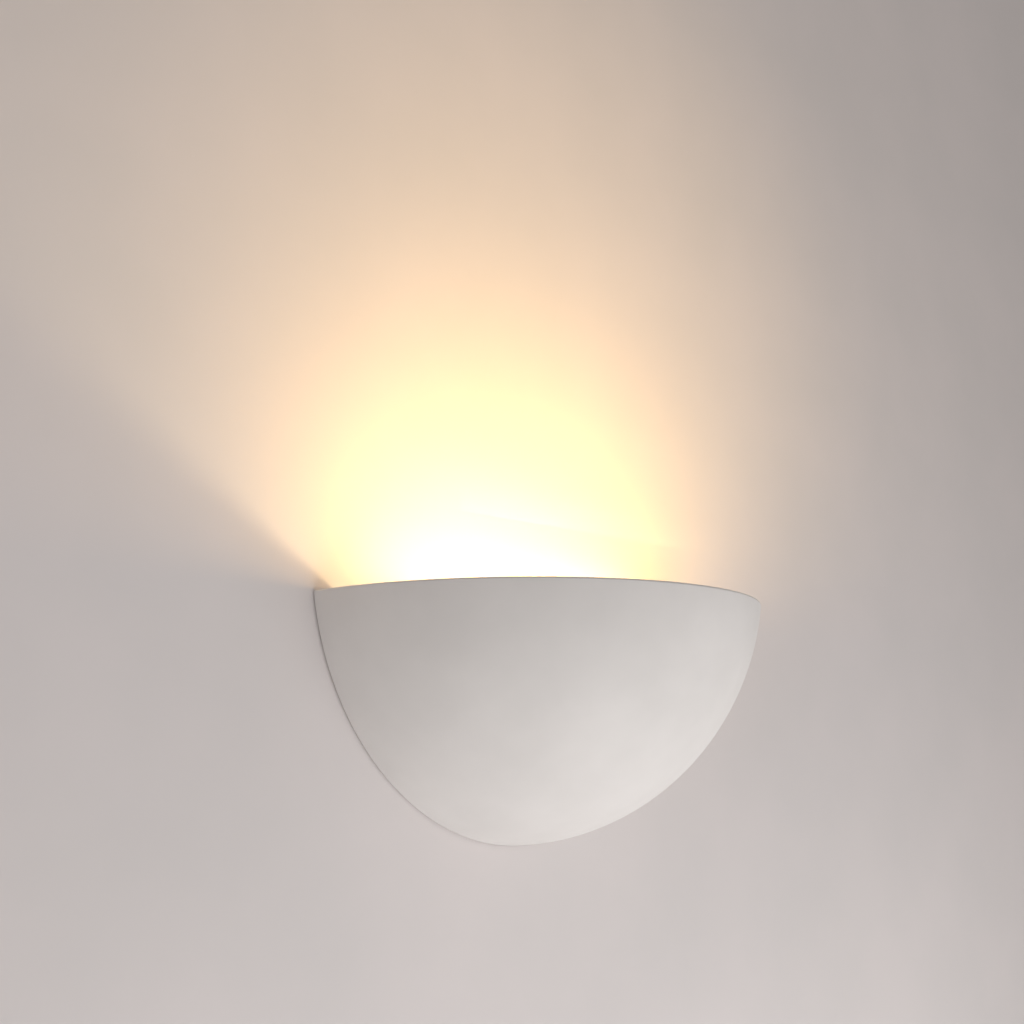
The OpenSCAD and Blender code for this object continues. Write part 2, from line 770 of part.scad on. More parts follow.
// Brown wire from the contact tongue's terminal to the first pole
module live_wire() {
    color("saddlebrown") wire(live_route, [0.4, -0.4, 1]);
}

// Blue wire from the thread shell's terminal to the second pole
module neutral_wire() {
    color("royalblue") wire(neutral_route, [0.4, -0.4, 1]);
}

// Green and yellow wire from the third pole to the earth tag
module earth_wire() {
    color("yellowgreen") wire(earth_route, [0.2, 1, 0.1]);
}

// ---- Lamp ----

// Rounded solder contact at the tip of the cap
module lamp_contact() {
    color("lightgray") on_lamp_axis(lamp_start) rotate_extrude() polygon([
        for (a = [0:15:90]) [pip_r * sin(a), pip_h * (1 - cos(a)) * 0.8],
        [pip_r, pip_h], [0, pip_h]
    ]);
}

// Black glass cone that insulates the contact from the cap
module lamp_insulator() {
    top = cap_minor - cap_wall;
    color("black") on_lamp_axis(lamp_start + pip_h) rotate_extrude() polygon([
        [0, 0], [pip_r + 0.4, 0], [cap_minor - 0.4, insulator_l - 1], [top, insulator_l], [0, insulator_l]
    ]);
}

// Nickel-plated cap with the rolled thread and the collar that holds the glass
module lamp_cap() {
    color("lightsteelblue") on_lamp_axis(lamp_start) turned_skin([
        [pip_h + insulator_l, cap_minor - cap_wall, 0],
        [pip_h + insulator_l, cap_minor, 0],
        each thread_curve(cap_thread_start, cap_thread_end, cap_r, cap_minor),
        [cap_thread_end + 1, cap_minor + cap_flare / 2, 0],
        [cap_l - 2 * collar_l + 0.5, cap_minor + cap_flare, 0],
        [cap_l - collar_l, collar_r, 0], [cap_l, collar_r, 0],
        [cap_l, neck_r + skin_play, 0], [cap_l - collar_l + 0.2, neck_r + skin_play, 0],
        [cap_l - 2 * collar_l + 0.8, cap_minor + cap_flare - cap_wall, 0],
        [cap_thread_end + 1, cap_minor - cap_wall, 0]
    ]);
}

// Neck, fillet and ball of the glass in one line, from the cap to the far end
function glass_outline(inset) = concat(
    [[neck_r - inset, glass_seat]],
    [for (i = [0:fillet_steps])
        let (a = 180 - fillet_angle * i / fillet_steps)
            [neck_r + neck_fillet + (neck_fillet + inset) * cos(a),
                neck_top + (neck_fillet + inset) * sin(a)]],
    [for (i = [1:glass_steps])
        let (a = -fillet_angle + (90 + fillet_angle) * i / glass_steps)
            [i == glass_steps ? 0 : (ball_r - inset) * cos(a), ball_c + (ball_r - inset) * sin(a)]]
);

// Clear blown envelope: a ball that runs into a straight neck
module lamp_glass() {
    color("white", 0.4) on_lamp_axis(lamp_start) rotate_extrude() polygon(concat(
        glass_outline(0), reversed(glass_outline(glass_t))
    ));
}

// Glass mount that closes the neck and carries the wires
module lamp_stem() {
    color("azure") on_lamp_axis(lamp_start) rotate_extrude() polygon([
        [flare_r, glass_seat], [flare_r, glass_seat + glass_t],
        [stem_r + 0.4, cap_l + 3], [stem_r, stem_top - 3], [stem_r - 0.6, stem_top],
        [stem_rod_r, stem_top], [stem_rod_r, stem_tip - 1.6], [stem_rod_r + 0.6, stem_tip - 0.8],
        [stem_rod_r, stem_tip], [0, stem_tip], [0, stem_top - 4],
        [stem_r - 1, cap_l + 3], [flare_r - 1, glass_seat]
    ]);
}

// Two nickel wires that feed the filament
module lamp_lead_wires() {
    color("silver") on_lamp_axis(lamp_start) for (s = [-1, 1]) {
        translate([s * (lead_root + lead_r), 0, stem_top]) cylinder(r = lead_r, h = 1.5);
        rod([s * (lead_root + lead_r), 0, stem_top + 1.2], [s * filament_span, 0, light_centre], lead_r);
    }
}

// Two thin hooks that hold up the middle of the filament
module lamp_supports() {
    color("gray") on_lamp_axis(lamp_start) for (s = [-1, 1])
        rod([s * 0.6, 0.7, stem_tip - 0.8],
            [s * filament_span * 0.5, filament_span * 0.866, light_centre - filament_r - 0.1], support_r);
}

// Coiled filament, taken as a bent rod of its outer size
module lamp_filament() {
    color("orange") on_lamp_axis(lamp_start + light_centre)
        rotate_extrude(angle = 180) translate([filament_span, 0]) circle(r = filament_r, $fn = 16);
}

// ---- Thumb screws ----

// Flat washer under the head of a thumb screw
module thumb_washer(side) {
    color("silver") translate([side * ledge_mid_x, -thumb_y, ledge_z + hanger_t]) difference() {
        cylinder(r = washer_r, h = washer_t);
        translate([0, 0, -over]) cylinder(r = m4_r + pin_play, h = washer_t + 2 * over);
    }
}

// Knurled brass screw that clamps a hanger on its ledge
module thumb_screw(side) {
    color("khaki") translate([side * ledge_mid_x, -thumb_y, ledge_z + hanger_t + washer_t])
        rotate_extrude() polygon([
            [0, -thumb_l], [m4_r - 0.5, -thumb_l], [m4_r, 0.5 - thumb_l], [m4_r, 0],
            [thumb_head_r - 0.6, 0], [thumb_head_r, 0.6], [thumb_head_r, thumb_head_h - 0.6],
            [thumb_head_r - 0.6, thumb_head_h], [0, thumb_head_h]
        ]);
}

module thumb_washer_left() {
    thumb_washer(-1);
}

module thumb_washer_right() {
    thumb_washer(1);
}

module thumb_screw_left() {
    thumb_screw(-1);
}

module thumb_screw_right() {
    thumb_screw(1);
}

// ---- Shade and its hangers ----

// The bowl filled up solid, set in from its outer face
module bowl_body(inset) {
    translate([0, axis_y, rim_rise]) rotate_extrude()
        polygon([for (p = concat(bowl_curve(inset, 0), [[0, 0]])) [max(p[0], 0), p[1]]]);
}

// Cast plaster shell, open above and towards the wall, with a lug for each hanger
module plaster_shade() {
    outer_edge = bowl_point(0, bowl_angle(0, rim_round));
    inner_edge = bowl_point(shade_wall, bowl_angle(shade_wall, rim_round));
    color("linen") difference() {
        union() {
            translate([0, axis_y, rim_rise]) rotate_extrude() polygon([
                for (p = concat(
                    bowl_curve(0, rim_round),
                    rim_arc([outer_edge[0] - rim_round, -rim_round], 0),
                    reversed(concat(
                        bowl_curve(shade_wall, rim_round),
                        reversed(rim_arc([inner_edge[0] + rim_round, -rim_round], 90))
                    ))
                )) [max(p[0], 0), p[1]]
            ]);
            intersection() {
                bowl_body(shade_wall / 2);
                for (s = [-1, 1]) mirror([(1 - s) / 2, 0, 0])
                    translate([lug_x, hanger_mid_y, ledge_z + hanger_h / 2]) rotate([90, 0, 90])
                        linear_extrude(shade_a) round_rect(
                            hanger_d + 2 * lug_margin, hanger_h + lug_margin, lug_margin
                        );
            }
        }
        translate([-shade_w, -shadow_gap, rim_rise - 2 * shade_h])
            cube([2 * shade_w, shade_w, 3 * shade_h]);
        hanger_screw_places() translate([0, 0, -over])
            cylinder(r = insert_r + pin_play, h = insert_l + over);
    }
}

// Places children at each hanger screw: their +Z runs outwards into the lug
module hanger_screw_places() {
    for (s = [-1, 1], d = [-1, 1])
        translate([s * lug_x, hanger_mid_y + d * hanger_pitch / 2, ledge_z + hanger_screw_rise])
            rotate([0, s * 90, 0]) children();
}

// Brass inserts cast into the lugs
module shade_inserts() {
    color("goldenrod") hanger_screw_places() difference() {
        cylinder(r = insert_r, h = insert_l);
        translate([0, 0, -over]) cylinder(r = m4_r + pin_play, h = insert_l + 2 * over);
    }
}

// Folded steel plate: its upright leg is screwed to the lug, its level leg rests on the ledge
module hanger(side) {
    reach = hanger_reach + ledge_w;
    color("silver") difference() {
        mirror([(1 - side) / 2, 0, 0]) translate([lug_x, -hanger_back, ledge_z]) rotate([90, 0, 0])
            linear_extrude(hanger_d) mirror([1, 0])
                fold_outline(reach, hanger_h, hanger_t, hanger_fold);
        translate([side * ledge_mid_x, -thumb_y, ledge_z - over]) {
            cylinder(r = notch_w / 2, h = hanger_t + 2 * over);
            translate([-notch_w / 2, 0, 0]) cube([notch_w, thumb_y, hanger_t + 2 * over]);
        }
        hanger_screw_places() translate([0, 0, -hanger_t - over])
            cylinder(r = m4_r + 0.2, h = hanger_t + 2 * over);
    }
}

module hanger_left() {
    hanger(-1);
}

module hanger_right() {
    hanger(1);
}

// Pan-head screws that fix the hangers to the inserts
module hanger_screws() {
    color("gainsboro") hanger_screw_places() {
        translate([0, 0, -hanger_t]) cylinder(r = m4_r, h = hanger_t + insert_l - 0.5);
        translate([0, 0, -hanger_t - pan_head_h]) cylinder(r = pan_head_r, h = pan_head_h);
    }
}

wall_bracket();
ledge_nuts();
cable_bush();
lamp_arm();
arm_rivets();
holder_nipple();
nipple_washer();
nipple_nut();
holder_base();
holder_core();
holder_posts();
holder_post_screws();
holder_contact();
holder_thread_shell();
holder_skirt();
terminal_body();
terminal_tubes();
terminal_screws();
terminal_fixing_screws();
earth_stud();
earth_tag();
earth_washer();
earth_nut();
live_wire();
neutral_wire();
earth_wire();
lamp_contact();
lamp_insulator();
lamp_cap();
lamp_glass();
lamp_stem();
lamp_lead_wires();
lamp_supports();
lamp_filament();
thumb_washer_left();
thumb_screw_left();
thumb_washer_right();
thumb_screw_right();
plaster_shade();
shade_inserts();
hanger_left();
hanger_right();
hanger_screws();
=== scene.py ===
import json
import math

import bmesh
import bpy
from mathutils import Matrix, Vector

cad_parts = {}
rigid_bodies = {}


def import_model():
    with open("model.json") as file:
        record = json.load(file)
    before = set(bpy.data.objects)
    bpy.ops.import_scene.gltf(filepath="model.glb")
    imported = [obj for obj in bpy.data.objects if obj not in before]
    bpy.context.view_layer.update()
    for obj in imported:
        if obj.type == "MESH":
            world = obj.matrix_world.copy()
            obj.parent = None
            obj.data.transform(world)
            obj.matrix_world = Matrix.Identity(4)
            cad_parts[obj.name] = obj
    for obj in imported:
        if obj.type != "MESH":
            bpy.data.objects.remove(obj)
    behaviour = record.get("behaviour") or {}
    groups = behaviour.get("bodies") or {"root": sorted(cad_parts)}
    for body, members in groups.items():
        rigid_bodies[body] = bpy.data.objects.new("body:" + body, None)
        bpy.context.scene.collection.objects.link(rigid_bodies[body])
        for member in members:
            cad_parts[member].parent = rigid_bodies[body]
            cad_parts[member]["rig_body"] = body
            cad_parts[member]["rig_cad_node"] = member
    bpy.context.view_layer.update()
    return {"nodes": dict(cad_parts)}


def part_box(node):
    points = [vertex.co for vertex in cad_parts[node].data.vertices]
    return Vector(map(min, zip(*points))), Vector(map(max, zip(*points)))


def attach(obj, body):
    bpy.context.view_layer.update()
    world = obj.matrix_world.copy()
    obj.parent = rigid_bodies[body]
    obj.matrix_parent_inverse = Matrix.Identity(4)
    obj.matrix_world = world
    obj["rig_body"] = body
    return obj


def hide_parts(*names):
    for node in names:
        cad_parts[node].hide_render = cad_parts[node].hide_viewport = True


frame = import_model()

# ---- Wall bracket ----
# The strip that is screwed to the wall: mild steel sheet, blanked, with two ledges and a lip
# folded up and two bosses pressed for the terminal block, then zinc plated.


def srgb(code):
    """Linear colour, with alpha, of an sRGB hex value such as #c8c8c4."""
    parts = [int(code[i:i + 2], 16) / 255 for i in (1, 3, 5)]
    return [c / 12.92 if c <= 0.04045 else ((c + 0.055) / 1.055) ** 2.4 for c in parts] + [1.0]


def add(tree, kind, sockets=None, **settings):
    """Adds a node to a material; an input given as another node's output is linked to it."""
    node = tree.nodes.new(kind)
    for name, value in settings.items():
        setattr(node, name, value)
    for key, value in (sockets or {}).items():
        if isinstance(value, bpy.types.NodeSocket):
            tree.links.new(value, node.inputs[key])
        else:
            node.inputs[key].default_value = value
    return node


def start_material(name, **values):
    """A material with one Principled shader, whose own sockets take the values."""
    material = bpy.data.materials.new(name)
    material.use_nodes = True
    tree = material.node_tree
    shader = tree.nodes["Principled BSDF"]
    for key, value in values.items():
        shader.inputs[key.replace("_", " ")].default_value = value
    return material, tree, shader, add(tree, "ShaderNodeTexCoord").outputs["Object"]


def cloud(tree, shader, coords, low, high, size_mm, spread=(0.35, 0.65)):
    """Lets the base colour wander between two hex colours over patches of a real size."""
    noise = add(tree, "ShaderNodeTexNoise", {"Vector": coords, "Scale": 1000 / size_mm, "Detail": 3.0})
    ramp = add(tree, "ShaderNodeValToRGB", {"Fac": noise.outputs["Fac"]})
    for element, position, code in zip(ramp.color_ramp.elements, spread, (low, high)):
        element.position, element.color = position, srgb(code)
    tree.links.new(ramp.outputs["Color"], shader.inputs["Base Color"])


def surface(tree, shader, height, rough=None, strength=0.3, depth_mm=0.05):
    """Takes relief, and roughness between two values, from one height pattern."""
    relief = add(tree, "ShaderNodeBump", {"Height": height, "Strength": strength,
                                          "Distance": depth_mm / 1000})
    tree.links.new(relief.outputs[0], shader.inputs["Normal"])
    if rough:
        dull = add(tree, "ShaderNodeMapRange", {"Value": height, "To Min": rough[0], "To Max": rough[1]})
        tree.links.new(dull.outputs[0], shader.inputs["Roughness"])


def grained(tree, shader, coords, lumps_per_m, detail, **finish):
    """Takes the relief and roughness of one fine noise, of so many lumps to the metre."""
    noise = add(tree, "ShaderNodeTexNoise", {"Vector": coords, "Scale": lumps_per_m, "Detail": detail})
    surface(tree, shader, noise.outputs["Fac"], **finish)


def deselect():
    """Leaves nothing selected."""
    bpy.ops.object.select_all(action="DESELECT")


def use(obj):
    """Makes one object the selected and active one."""
    deselect()
    obj.select_set(True)
    bpy.context.view_layer.objects.active = obj
    return obj


def shape(obj, kind, **settings):
    """Adds a modifier with its settings and applies it."""
    use(obj)
    modifier = obj.modifiers.new(kind.title(), kind)
    for name, value in settings.items():
        setattr(modifier, name, value)
    bpy.ops.object.modifier_apply(modifier=modifier.name)
    return obj


def settle(obj, name, material, body, *nodes, angle=35):
    """Names a finished piece, puts its place into its mesh, and lets it stand for its CAD nodes."""
    use(obj)
    obj.name = name
    bpy.ops.object.transform_apply(location=True, rotation=True, scale=True)
    bpy.ops.object.shade_smooth_by_angle(angle=math.radians(angle))
    shape(obj, "WEIGHTED_NORMAL", keep_sharp=True)
    obj.data.materials.clear()
    obj.data.materials.append(material)
    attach(obj, body)
    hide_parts(*nodes)
    return obj


def deburr(node, name, material, body, width_mm, angle=35):
    """A copy of a CAD node, cleaned up; its sharp edges are broken unless width_mm is 0."""
    use(frame["nodes"][node])
    bpy.ops.object.duplicate()
    piece = bpy.context.object
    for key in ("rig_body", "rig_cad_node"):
        del piece[key]
    bpy.ops.object.mode_set(mode="EDIT")
    bpy.ops.mesh.select_all(action="SELECT")
    bpy.ops.mesh.remove_doubles(threshold=2e-6)
    bpy.ops.mesh.dissolve_limited(angle_limit=math.radians(1))
    bpy.ops.object.mode_set(mode="OBJECT")
    if width_mm:
        shape(piece, "BEVEL", width=width_mm / 1000, segments=2, limit_method="ANGLE",
              angle_limit=math.radians(40), use_clamp_overlap=True)
    return settle(piece, name, material, body, node, angle=angle)


# Zinc-plated sheet: pale blue-grey metal, cloudy in patches of some 12 mm, with the rolling
# lines of the sheet along X, drawn at 0.4 mm so that they show.
zinc_sheet, tree, shader, coords = start_material("zinc_plated_sheet_steel", Metallic=1.0)
cloud(tree, shader, coords, "#b4b8bb", "#cbcdcd", 12)
lines = add(tree, "ShaderNodeMapping", {"Vector": coords, "Scale": (60, 2500, 2500)})
rolled = add(tree, "ShaderNodeTexNoise", {"Vector": lines.outputs[0], "Scale": 1.0, "Detail": 4.0})
surface(tree, shader, rolled.outputs["Fac"], rough=(0.32, 0.52), strength=0.25)
deburr("wall_bracket", "wall_strip", zinc_sheet, "fixture", 0.2)

# ---- Clinch nuts ----
# Round steel nuts, turned, tapped and bright zinc plated, pressed into the ledges from below.

# Bright zinc on turned steel: whiter and smoother than the sheet, with tool marks at 0.7 mm.
bright_zinc, tree, shader, coords = start_material("bright_zinc_on_turned_steel", Metallic=1.0)
cloud(tree, shader, coords, "#bfc0be", "#d6d6d2", 2.5)
grained(tree, shader, coords, 1500.0, 2.0, rough=(0.22, 0.38), strength=0.1)
deburr("ledge_nuts", "clinch_nuts", bright_zinc, "fixture", 0.25)

# ---- Cable bush ----
# The black grommet that guards the supply cable, injection moulded in nylon and pressed in.


def box_mm(node):
    """Lowest and highest corner of a CAD node, in millimetres."""
    return [[v * 1000 for v in corner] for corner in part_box(node)]


def middle_mm(node):
    """Middle of a CAD node's box, in millimetres."""
    return [(a + b) / 2 for a, b in zip(*box_mm(node))]


def round_corner(centre, radius, start, end, count=4):
    """Points of a round corner of a profile, with angles in degrees from the outward direction."""
    return [(centre[0] + radius * math.cos(math.radians(start + (end - start) * i / count)),
             centre[1] + radius * math.sin(math.radians(start + (end - start) * i / count)))
            for i in range(count + 1)]


def turned(profile, steps=64):
    """A turned piece round Z: one corner is extruded from point to point of a profile of
    (radius, height) pairs in millimetres, and then spun."""
    deselect()
    bpy.ops.mesh.primitive_plane_add(size=0.001)
    piece = bpy.context.object
    bpy.ops.object.mode_set(mode="EDIT")
    bpy.ops.mesh.select_mode(type="VERT")
    bpy.ops.mesh.select_all(action="SELECT")
    bpy.ops.mesh.merge(type="CENTER")
    bpy.ops.transform.translate(value=(profile[0][0] / 1000, 0, profile[0][1] / 1000))
    for (r0, h0), (r1, h1) in zip(profile, profile[1:]):
        bpy.ops.mesh.extrude_vertices_move(
            TRANSFORM_OT_translate={"value": ((r1 - r0) / 1000, 0, (h1 - h0) / 1000)})
    bpy.ops.mesh.select_all(action="SELECT")
    bpy.ops.mesh.spin(steps=steps, angle=math.tau, center=(0, 0, 0), axis=(0, 0, 1))
    bpy.ops.mesh.select_all(action="SELECT")
    bpy.ops.mesh.remove_doubles(threshold=1e-6)
    bpy.ops.mesh.normals_make_consistent(inside=False)
    bpy.ops.object.mode_set(mode="OBJECT")
    return piece


def place(obj, at_mm, way, spin=0.0):
    """Sets a piece at a point in millimetres with its own Z along way, after a turn about that Z."""
    use(obj)
    turn = Vector(way).to_track_quat("Z", "Y").to_matrix() @ Matrix.Rotation(spin, 3, "Z")
    obj.matrix_world = Matrix.Translation(Vector(at_mm) / 1000) @ turn.to_4x4()
    bpy.ops.object.transform_apply(location=True, rotation=True, scale=True)
    return obj


# Moulded nylon: near black, satin, with the fine grain of the spark-eroded mould, at 0.3 mm.
black_nylon, tree, shader, coords = start_material("black_moulded_nylon", IOR=1.53)
cloud(tree, shader, coords, "#1d1d1e", "#292929", 3)
grained(tree, shader, coords, 3500.0, 2.0, rough=(0.42, 0.56), depth_mm=0.04)

bush_x, _, bush_z = middle_mm("cable_bush")
bush_flange_r = box_mm("cable_bush")[1][0] - bush_x
bush_neck_r, bush_bore_r, sheet_t = 7.0, 4.0, 1.5
bush_top = -box_mm("cable_bush")[0][1]
seat_round, lip_round = 0.6, 1.1
bush = turned(
    [(bush_bore_r, 0), (bush_neck_r, 0), (bush_neck_r, sheet_t), (bush_flange_r - seat_round, sheet_t)]
    + round_corner((bush_flange_r - seat_round, sheet_t + seat_round), seat_round, -90, 0)
    + round_corner((bush_flange_r - lip_round, bush_top - lip_round), lip_round, 0, 90)
    + round_corner((bush_bore_r + lip_round, bush_top - lip_round), lip_round, 90, 180)
    + [(bush_bore_r, 0)])
settle(place(bush, (bush_x, 0, bush_z), (0, -1, 0)), "cable_grommet", black_nylon, "fixture", "cable_bush")

# ---- Lamp arm and its rivets ----
# A folded steel arm, plated as the bracket is, held by two domed rivets with flush tails.
deburr("lamp_arm", "holder_arm", zinc_sheet, "fixture", 0.2)


def spread(obj, spots):
    """Copies a piece modelled at the origin to several (place, way, spin) spots, as one object."""
    copies = []
    for at_mm, way, spin in spots:
        use(obj)
        bpy.ops.object.duplicate()
        copies.append(place(bpy.context.object, at_mm, way, spin))
    bpy.data.objects.remove(obj)
    use(copies[0])
    for other in copies[1:]:
        other.select_set(True)
    bpy.ops.object.join()
    return bpy.context.object


rivet_r, rivet_head_r, rivet_grip = 2.0, 3.6, 2 * sheet_t
rivet_low, rivet_high = box_mm("arm_rivets")
rivet_top = -rivet_low[1]
rivet_dome = [(rivet_head_r * math.cos(math.radians(a)),
               rivet_grip + (rivet_top - rivet_grip) * math.sin(math.radians(a)))
              for a in range(0, 90, 9)]
rivet = turned([(0, 0), (rivet_r, 0), (rivet_r, rivet_grip)] + rivet_dome + [(0, rivet_top)])
rivet_spots = [((middle_mm("arm_rivets")[0], 0, z), (0, -1, 0), 0)
               for z in (rivet_low[2] + rivet_head_r, rivet_high[2] - rivet_head_r)]
settle(spread(rivet, rivet_spots), "domed_rivets", bright_zinc, "fixture", "arm_rivets")

# ---- Nipple, toothed washer and nut ----
# The hollow threaded tube that carries the lampholder, locked behind the arm.


def thread(radius, start, end, pitch):
    """Profile points of a fine thread, drawn as rings because its helix is too slight to see."""
    count, depth = int((end - start) / pitch), pitch / 2
    points = []
    for i in range(count):
        h = start + (end - start) * i / count
        points += [(radius - depth, h), (radius, h + pitch / 2)]
    return points + [(radius - depth, end)]


def toothed(inner, outer, thick, teeth):
    """A lock washer: every other face of its edge is drawn out as a tooth 0.9 mm long."""
    tooth = 0.9
    body = outer - tooth
    piece = turned([(inner, 0), (body, 0), (body, thick), (inner, thick), (inner, 0)], steps=2 * teeth)
    bpy.ops.object.mode_set(mode="EDIT")
    bpy.ops.mesh.select_mode(type="FACE")
    bpy.ops.mesh.select_all(action="DESELECT")
    mesh = bmesh.from_edit_mesh(piece.data)
    for face in mesh.faces:
        centre = face.calc_center_median()
        sector = int((math.atan2(centre.y, centre.x) % math.tau) / (math.pi / teeth))
        outside = centre.xy.length * 1000 > body - 0.4 and abs(face.normal.z) < 0.1
        face.select = outside and sector % 2 == 0
    bmesh.update_edit_mesh(piece.data)
    bpy.ops.mesh.inset(thickness=0.00005, depth=tooth / 1000, use_individual=True)
    bpy.ops.object.mode_set(mode="OBJECT")
    return piece


arm_x = box_mm("lamp_arm")[0][0]
lamp_y, lamp_z = middle_mm("lamp_cap")[1:]
nipple_low, nipple_high = box_mm("holder_nipple")
nipple_r, nipple_bore_r = (nipple_high[2] - nipple_low[2]) / 2, 3.7
nipple_l, nipple_pitch, play = nipple_high[0] - nipple_low[0], 1.0, 0.05
nipple = turned([(nipple_bore_r, 0)] + thread(nipple_r, 0, nipple_l, nipple_pitch)
                + [(nipple_bore_r, nipple_l), (nipple_bore_r, 0)])
settle(place(nipple, (nipple_high[0], lamp_y, lamp_z), (-1, 0, 0)), "threaded_nipple", bright_zinc,
       "fixture", "holder_nipple")
washer_low, washer_high = box_mm("nipple_washer")
lock_washer = toothed(nipple_r + play, (washer_high[2] - washer_low[2]) / 2,
                      washer_high[0] - washer_low[0], teeth=18)
settle(place(lock_washer, (arm_x + sheet_t, lamp_y, lamp_z), (1, 0, 0)), "toothed_washer_of_nipple",
       bright_zinc, "fixture", "nipple_washer")
deburr("nipple_nut", "nipple_hexagon_nut", bright_zinc, "fixture", 0.35)

# ---- Lampholder ----
# Two halves moulded in white resin that fit together round a ceramic disc. The front half
# has grip flutes; inside are brass terminals, a bronze tongue and the shell for the lamp.


def flute(piece, columns, low_mm, high_mm, radius_mm, every, depth_mm):
    """Sinks groups of columns of a turned piece's outer faces, as grip flutes or a knurl."""
    use(piece)
    bpy.ops.object.mode_set(mode="EDIT")
    bpy.ops.mesh.select_mode(type="FACE")
    bpy.ops.mesh.select_all(action="DESELECT")
    mesh = bmesh.from_edit_mesh(piece.data)
    for face in mesh.faces:
        centre = face.calc_center_median() * 1000
        column = int((math.atan2(centre.y, centre.x) % math.tau) / (math.tau / columns))
        outside = centre.xy.length > radius_mm - 0.2 and low_mm < centre.z < high_mm
        face.select = outside and column % every < every / 2
    bmesh.update_edit_mesh(piece.data)
    bpy.ops.mesh.inset(thickness=0.00012, depth=-depth_mm / 1000)
    bpy.ops.object.mode_set(mode="OBJECT")
    return piece


# Compression-moulded resin: cream white, a glossy skin with a faint orange peel of 1 mm.
white_resin, tree, shader, coords = start_material("white_moulded_resin", IOR=1.55, Roughness=0.3)
cloud(tree, shader, coords, "#e4e1d9", "#ece9e2", 6)
grained(tree, shader, coords, 900.0, 1.0, strength=0.2, depth_mm=0.1)

holder_r = (box_mm("holder_base")[1][2] - box_mm("holder_base")[0][2]) / 2
mouth, base_l = (arm_x - x for x in (box_mm("holder_skirt")[0][0], box_mm("holder_skirt")[1][0]))
spigot_l = arm_x - box_mm("holder_base")[0][0] - base_l
spigot_r, bore_r, throat_r = 12.4, 11.5, 8.65
shoulder = arm_x - box_mm("holder_core")[0][0] + 0.8
moulding_edge, back_round = 0.3, 1.0
ring_low, ring_high, ring_depth = 9.0, 10.6, 0.4
floor_t, boss_r, boss_h, ledge_w = 4.0, 8.0, 7.0, 1.1
base = turned(
    [(nipple_r + play, 0), (holder_r - floor_t, 0)]
    + round_corner((holder_r - floor_t - moulding_edge, back_round), back_round, -60, -39, 2)
    + round_corner((holder_r - back_round, floor_t + 1.2), back_round, -39, 0)
    + [(holder_r, ring_low), (holder_r - ring_depth, ring_low + ring_depth),
       (holder_r - ring_depth, ring_high - ring_depth), (holder_r, ring_high),
       (holder_r, base_l - moulding_edge), (holder_r - moulding_edge, base_l), (spigot_r, base_l),
       (spigot_r, base_l + spigot_l), (bore_r, base_l + spigot_l), (bore_r, base_l),
       (bore_r - ledge_w, base_l), (bore_r - ledge_w, floor_t), (boss_r, floor_t), (boss_r, boss_h),
       (nipple_r + play, boss_h), (nipple_r + play, 0)], steps=96)
settle(place(base, (arm_x, lamp_y, lamp_z), (-1, 0, 0)), "holder_rear_half", white_resin, "fixture",
       "holder_base")
skirt_columns, grip_start, grip_middle, grip_end = 96, base_l + 2.2, base_l + 13, mouth - 5.5
socket_r, socket_end, lip_r, mouth_r = spigot_r + 0.15, base_l + spigot_l + 0.1, 1.0, 1.4
skirt = turned(
    [(socket_r, base_l), (holder_r - moulding_edge, base_l), (holder_r, base_l + moulding_edge),
     (holder_r, grip_start), (holder_r, grip_middle), (holder_r, grip_end), (holder_r, mouth - 2.8)]
    + round_corner((holder_r - lip_r, mouth - 2.4), lip_r, 0, 60)
    + round_corner((throat_r + mouth_r, mouth - mouth_r), mouth_r, 70, 180, 6)
    + [(throat_r, shoulder), (bore_r, shoulder), (bore_r, socket_end), (socket_r, socket_end),
       (socket_r, base_l)], steps=skirt_columns)
flute(skirt, skirt_columns, grip_start, grip_end, holder_r, every=4, depth_mm=0.45)
settle(place(skirt, (arm_x, lamp_y, lamp_z), (-1, 0, 0)), "holder_front_half", white_resin, "fixture",
       "holder_skirt")

# Pressed steatite: dense unglazed ceramic, ivory and dry, with a sandy grain of 0.3 mm.
steatite, tree, shader, coords = start_material("unglazed_steatite_ceramic", IOR=1.6)
cloud(tree, shader, coords, "#d9d2c0", "#e8e2d2", 1.5)
grained(tree, shader, coords, 3000.0, 3.0, rough=(0.66, 0.8), strength=0.5, depth_mm=0.06)
deburr("holder_core", "contact_disc", steatite, "fixture", 0.3)

# Machined brass: warm yellow, browner in patches of 3 mm, with turning marks at 0.6 mm.
brass, tree, shader, coords = start_material("machined_brass", Metallic=1.0)
cloud(tree, shader, coords, "#c2a368", "#ddc48a", 3)
grained(tree, shader, coords, 1800.0, 3.0, rough=(0.2, 0.4), strength=0.12)
deburr("holder_posts", "holder_terminals", brass, "fixture", 0.15)
deburr("holder_post_screws", "holder_terminal_screws", bright_zinc, "fixture", 0.2)

# Rolled spring bronze: redder than brass, satin, darker in patches of 1.5 mm from the rolling.
bronze, tree, shader, coords = start_material("rolled_spring_bronze", Metallic=1.0)
cloud(tree, shader, coords, "#a8703c", "#c99058", 1.5)
grained(tree, shader, coords, 2200.0, 2.0, rough=(0.3, 0.42), strength=0.1)
deburr("holder_contact", "centre_tongue", bronze, "fixture", 0.1)

# Nickel over rolled brass: warm silver with a light bloom in patches of 1.5 mm.
nickel_brass, tree, shader, coords = start_material("nickel_plated_rolled_brass", Metallic=1.0)
cloud(tree, shader, coords, "#b8b09a", "#d0c9b6", 4)
grained(tree, shader, coords, 700.0, 3.0, rough=(0.2, 0.42), strength=0.1)
deburr("holder_thread_shell", "thread_shell", nickel_brass, "fixture", 0)

# ---- Terminal block ----
# The moulded three-pole block where the supply meets the wires: brass tubes, two slotted
# clamping screws to a tube, and two cross-head screws that hold it on the bosses.


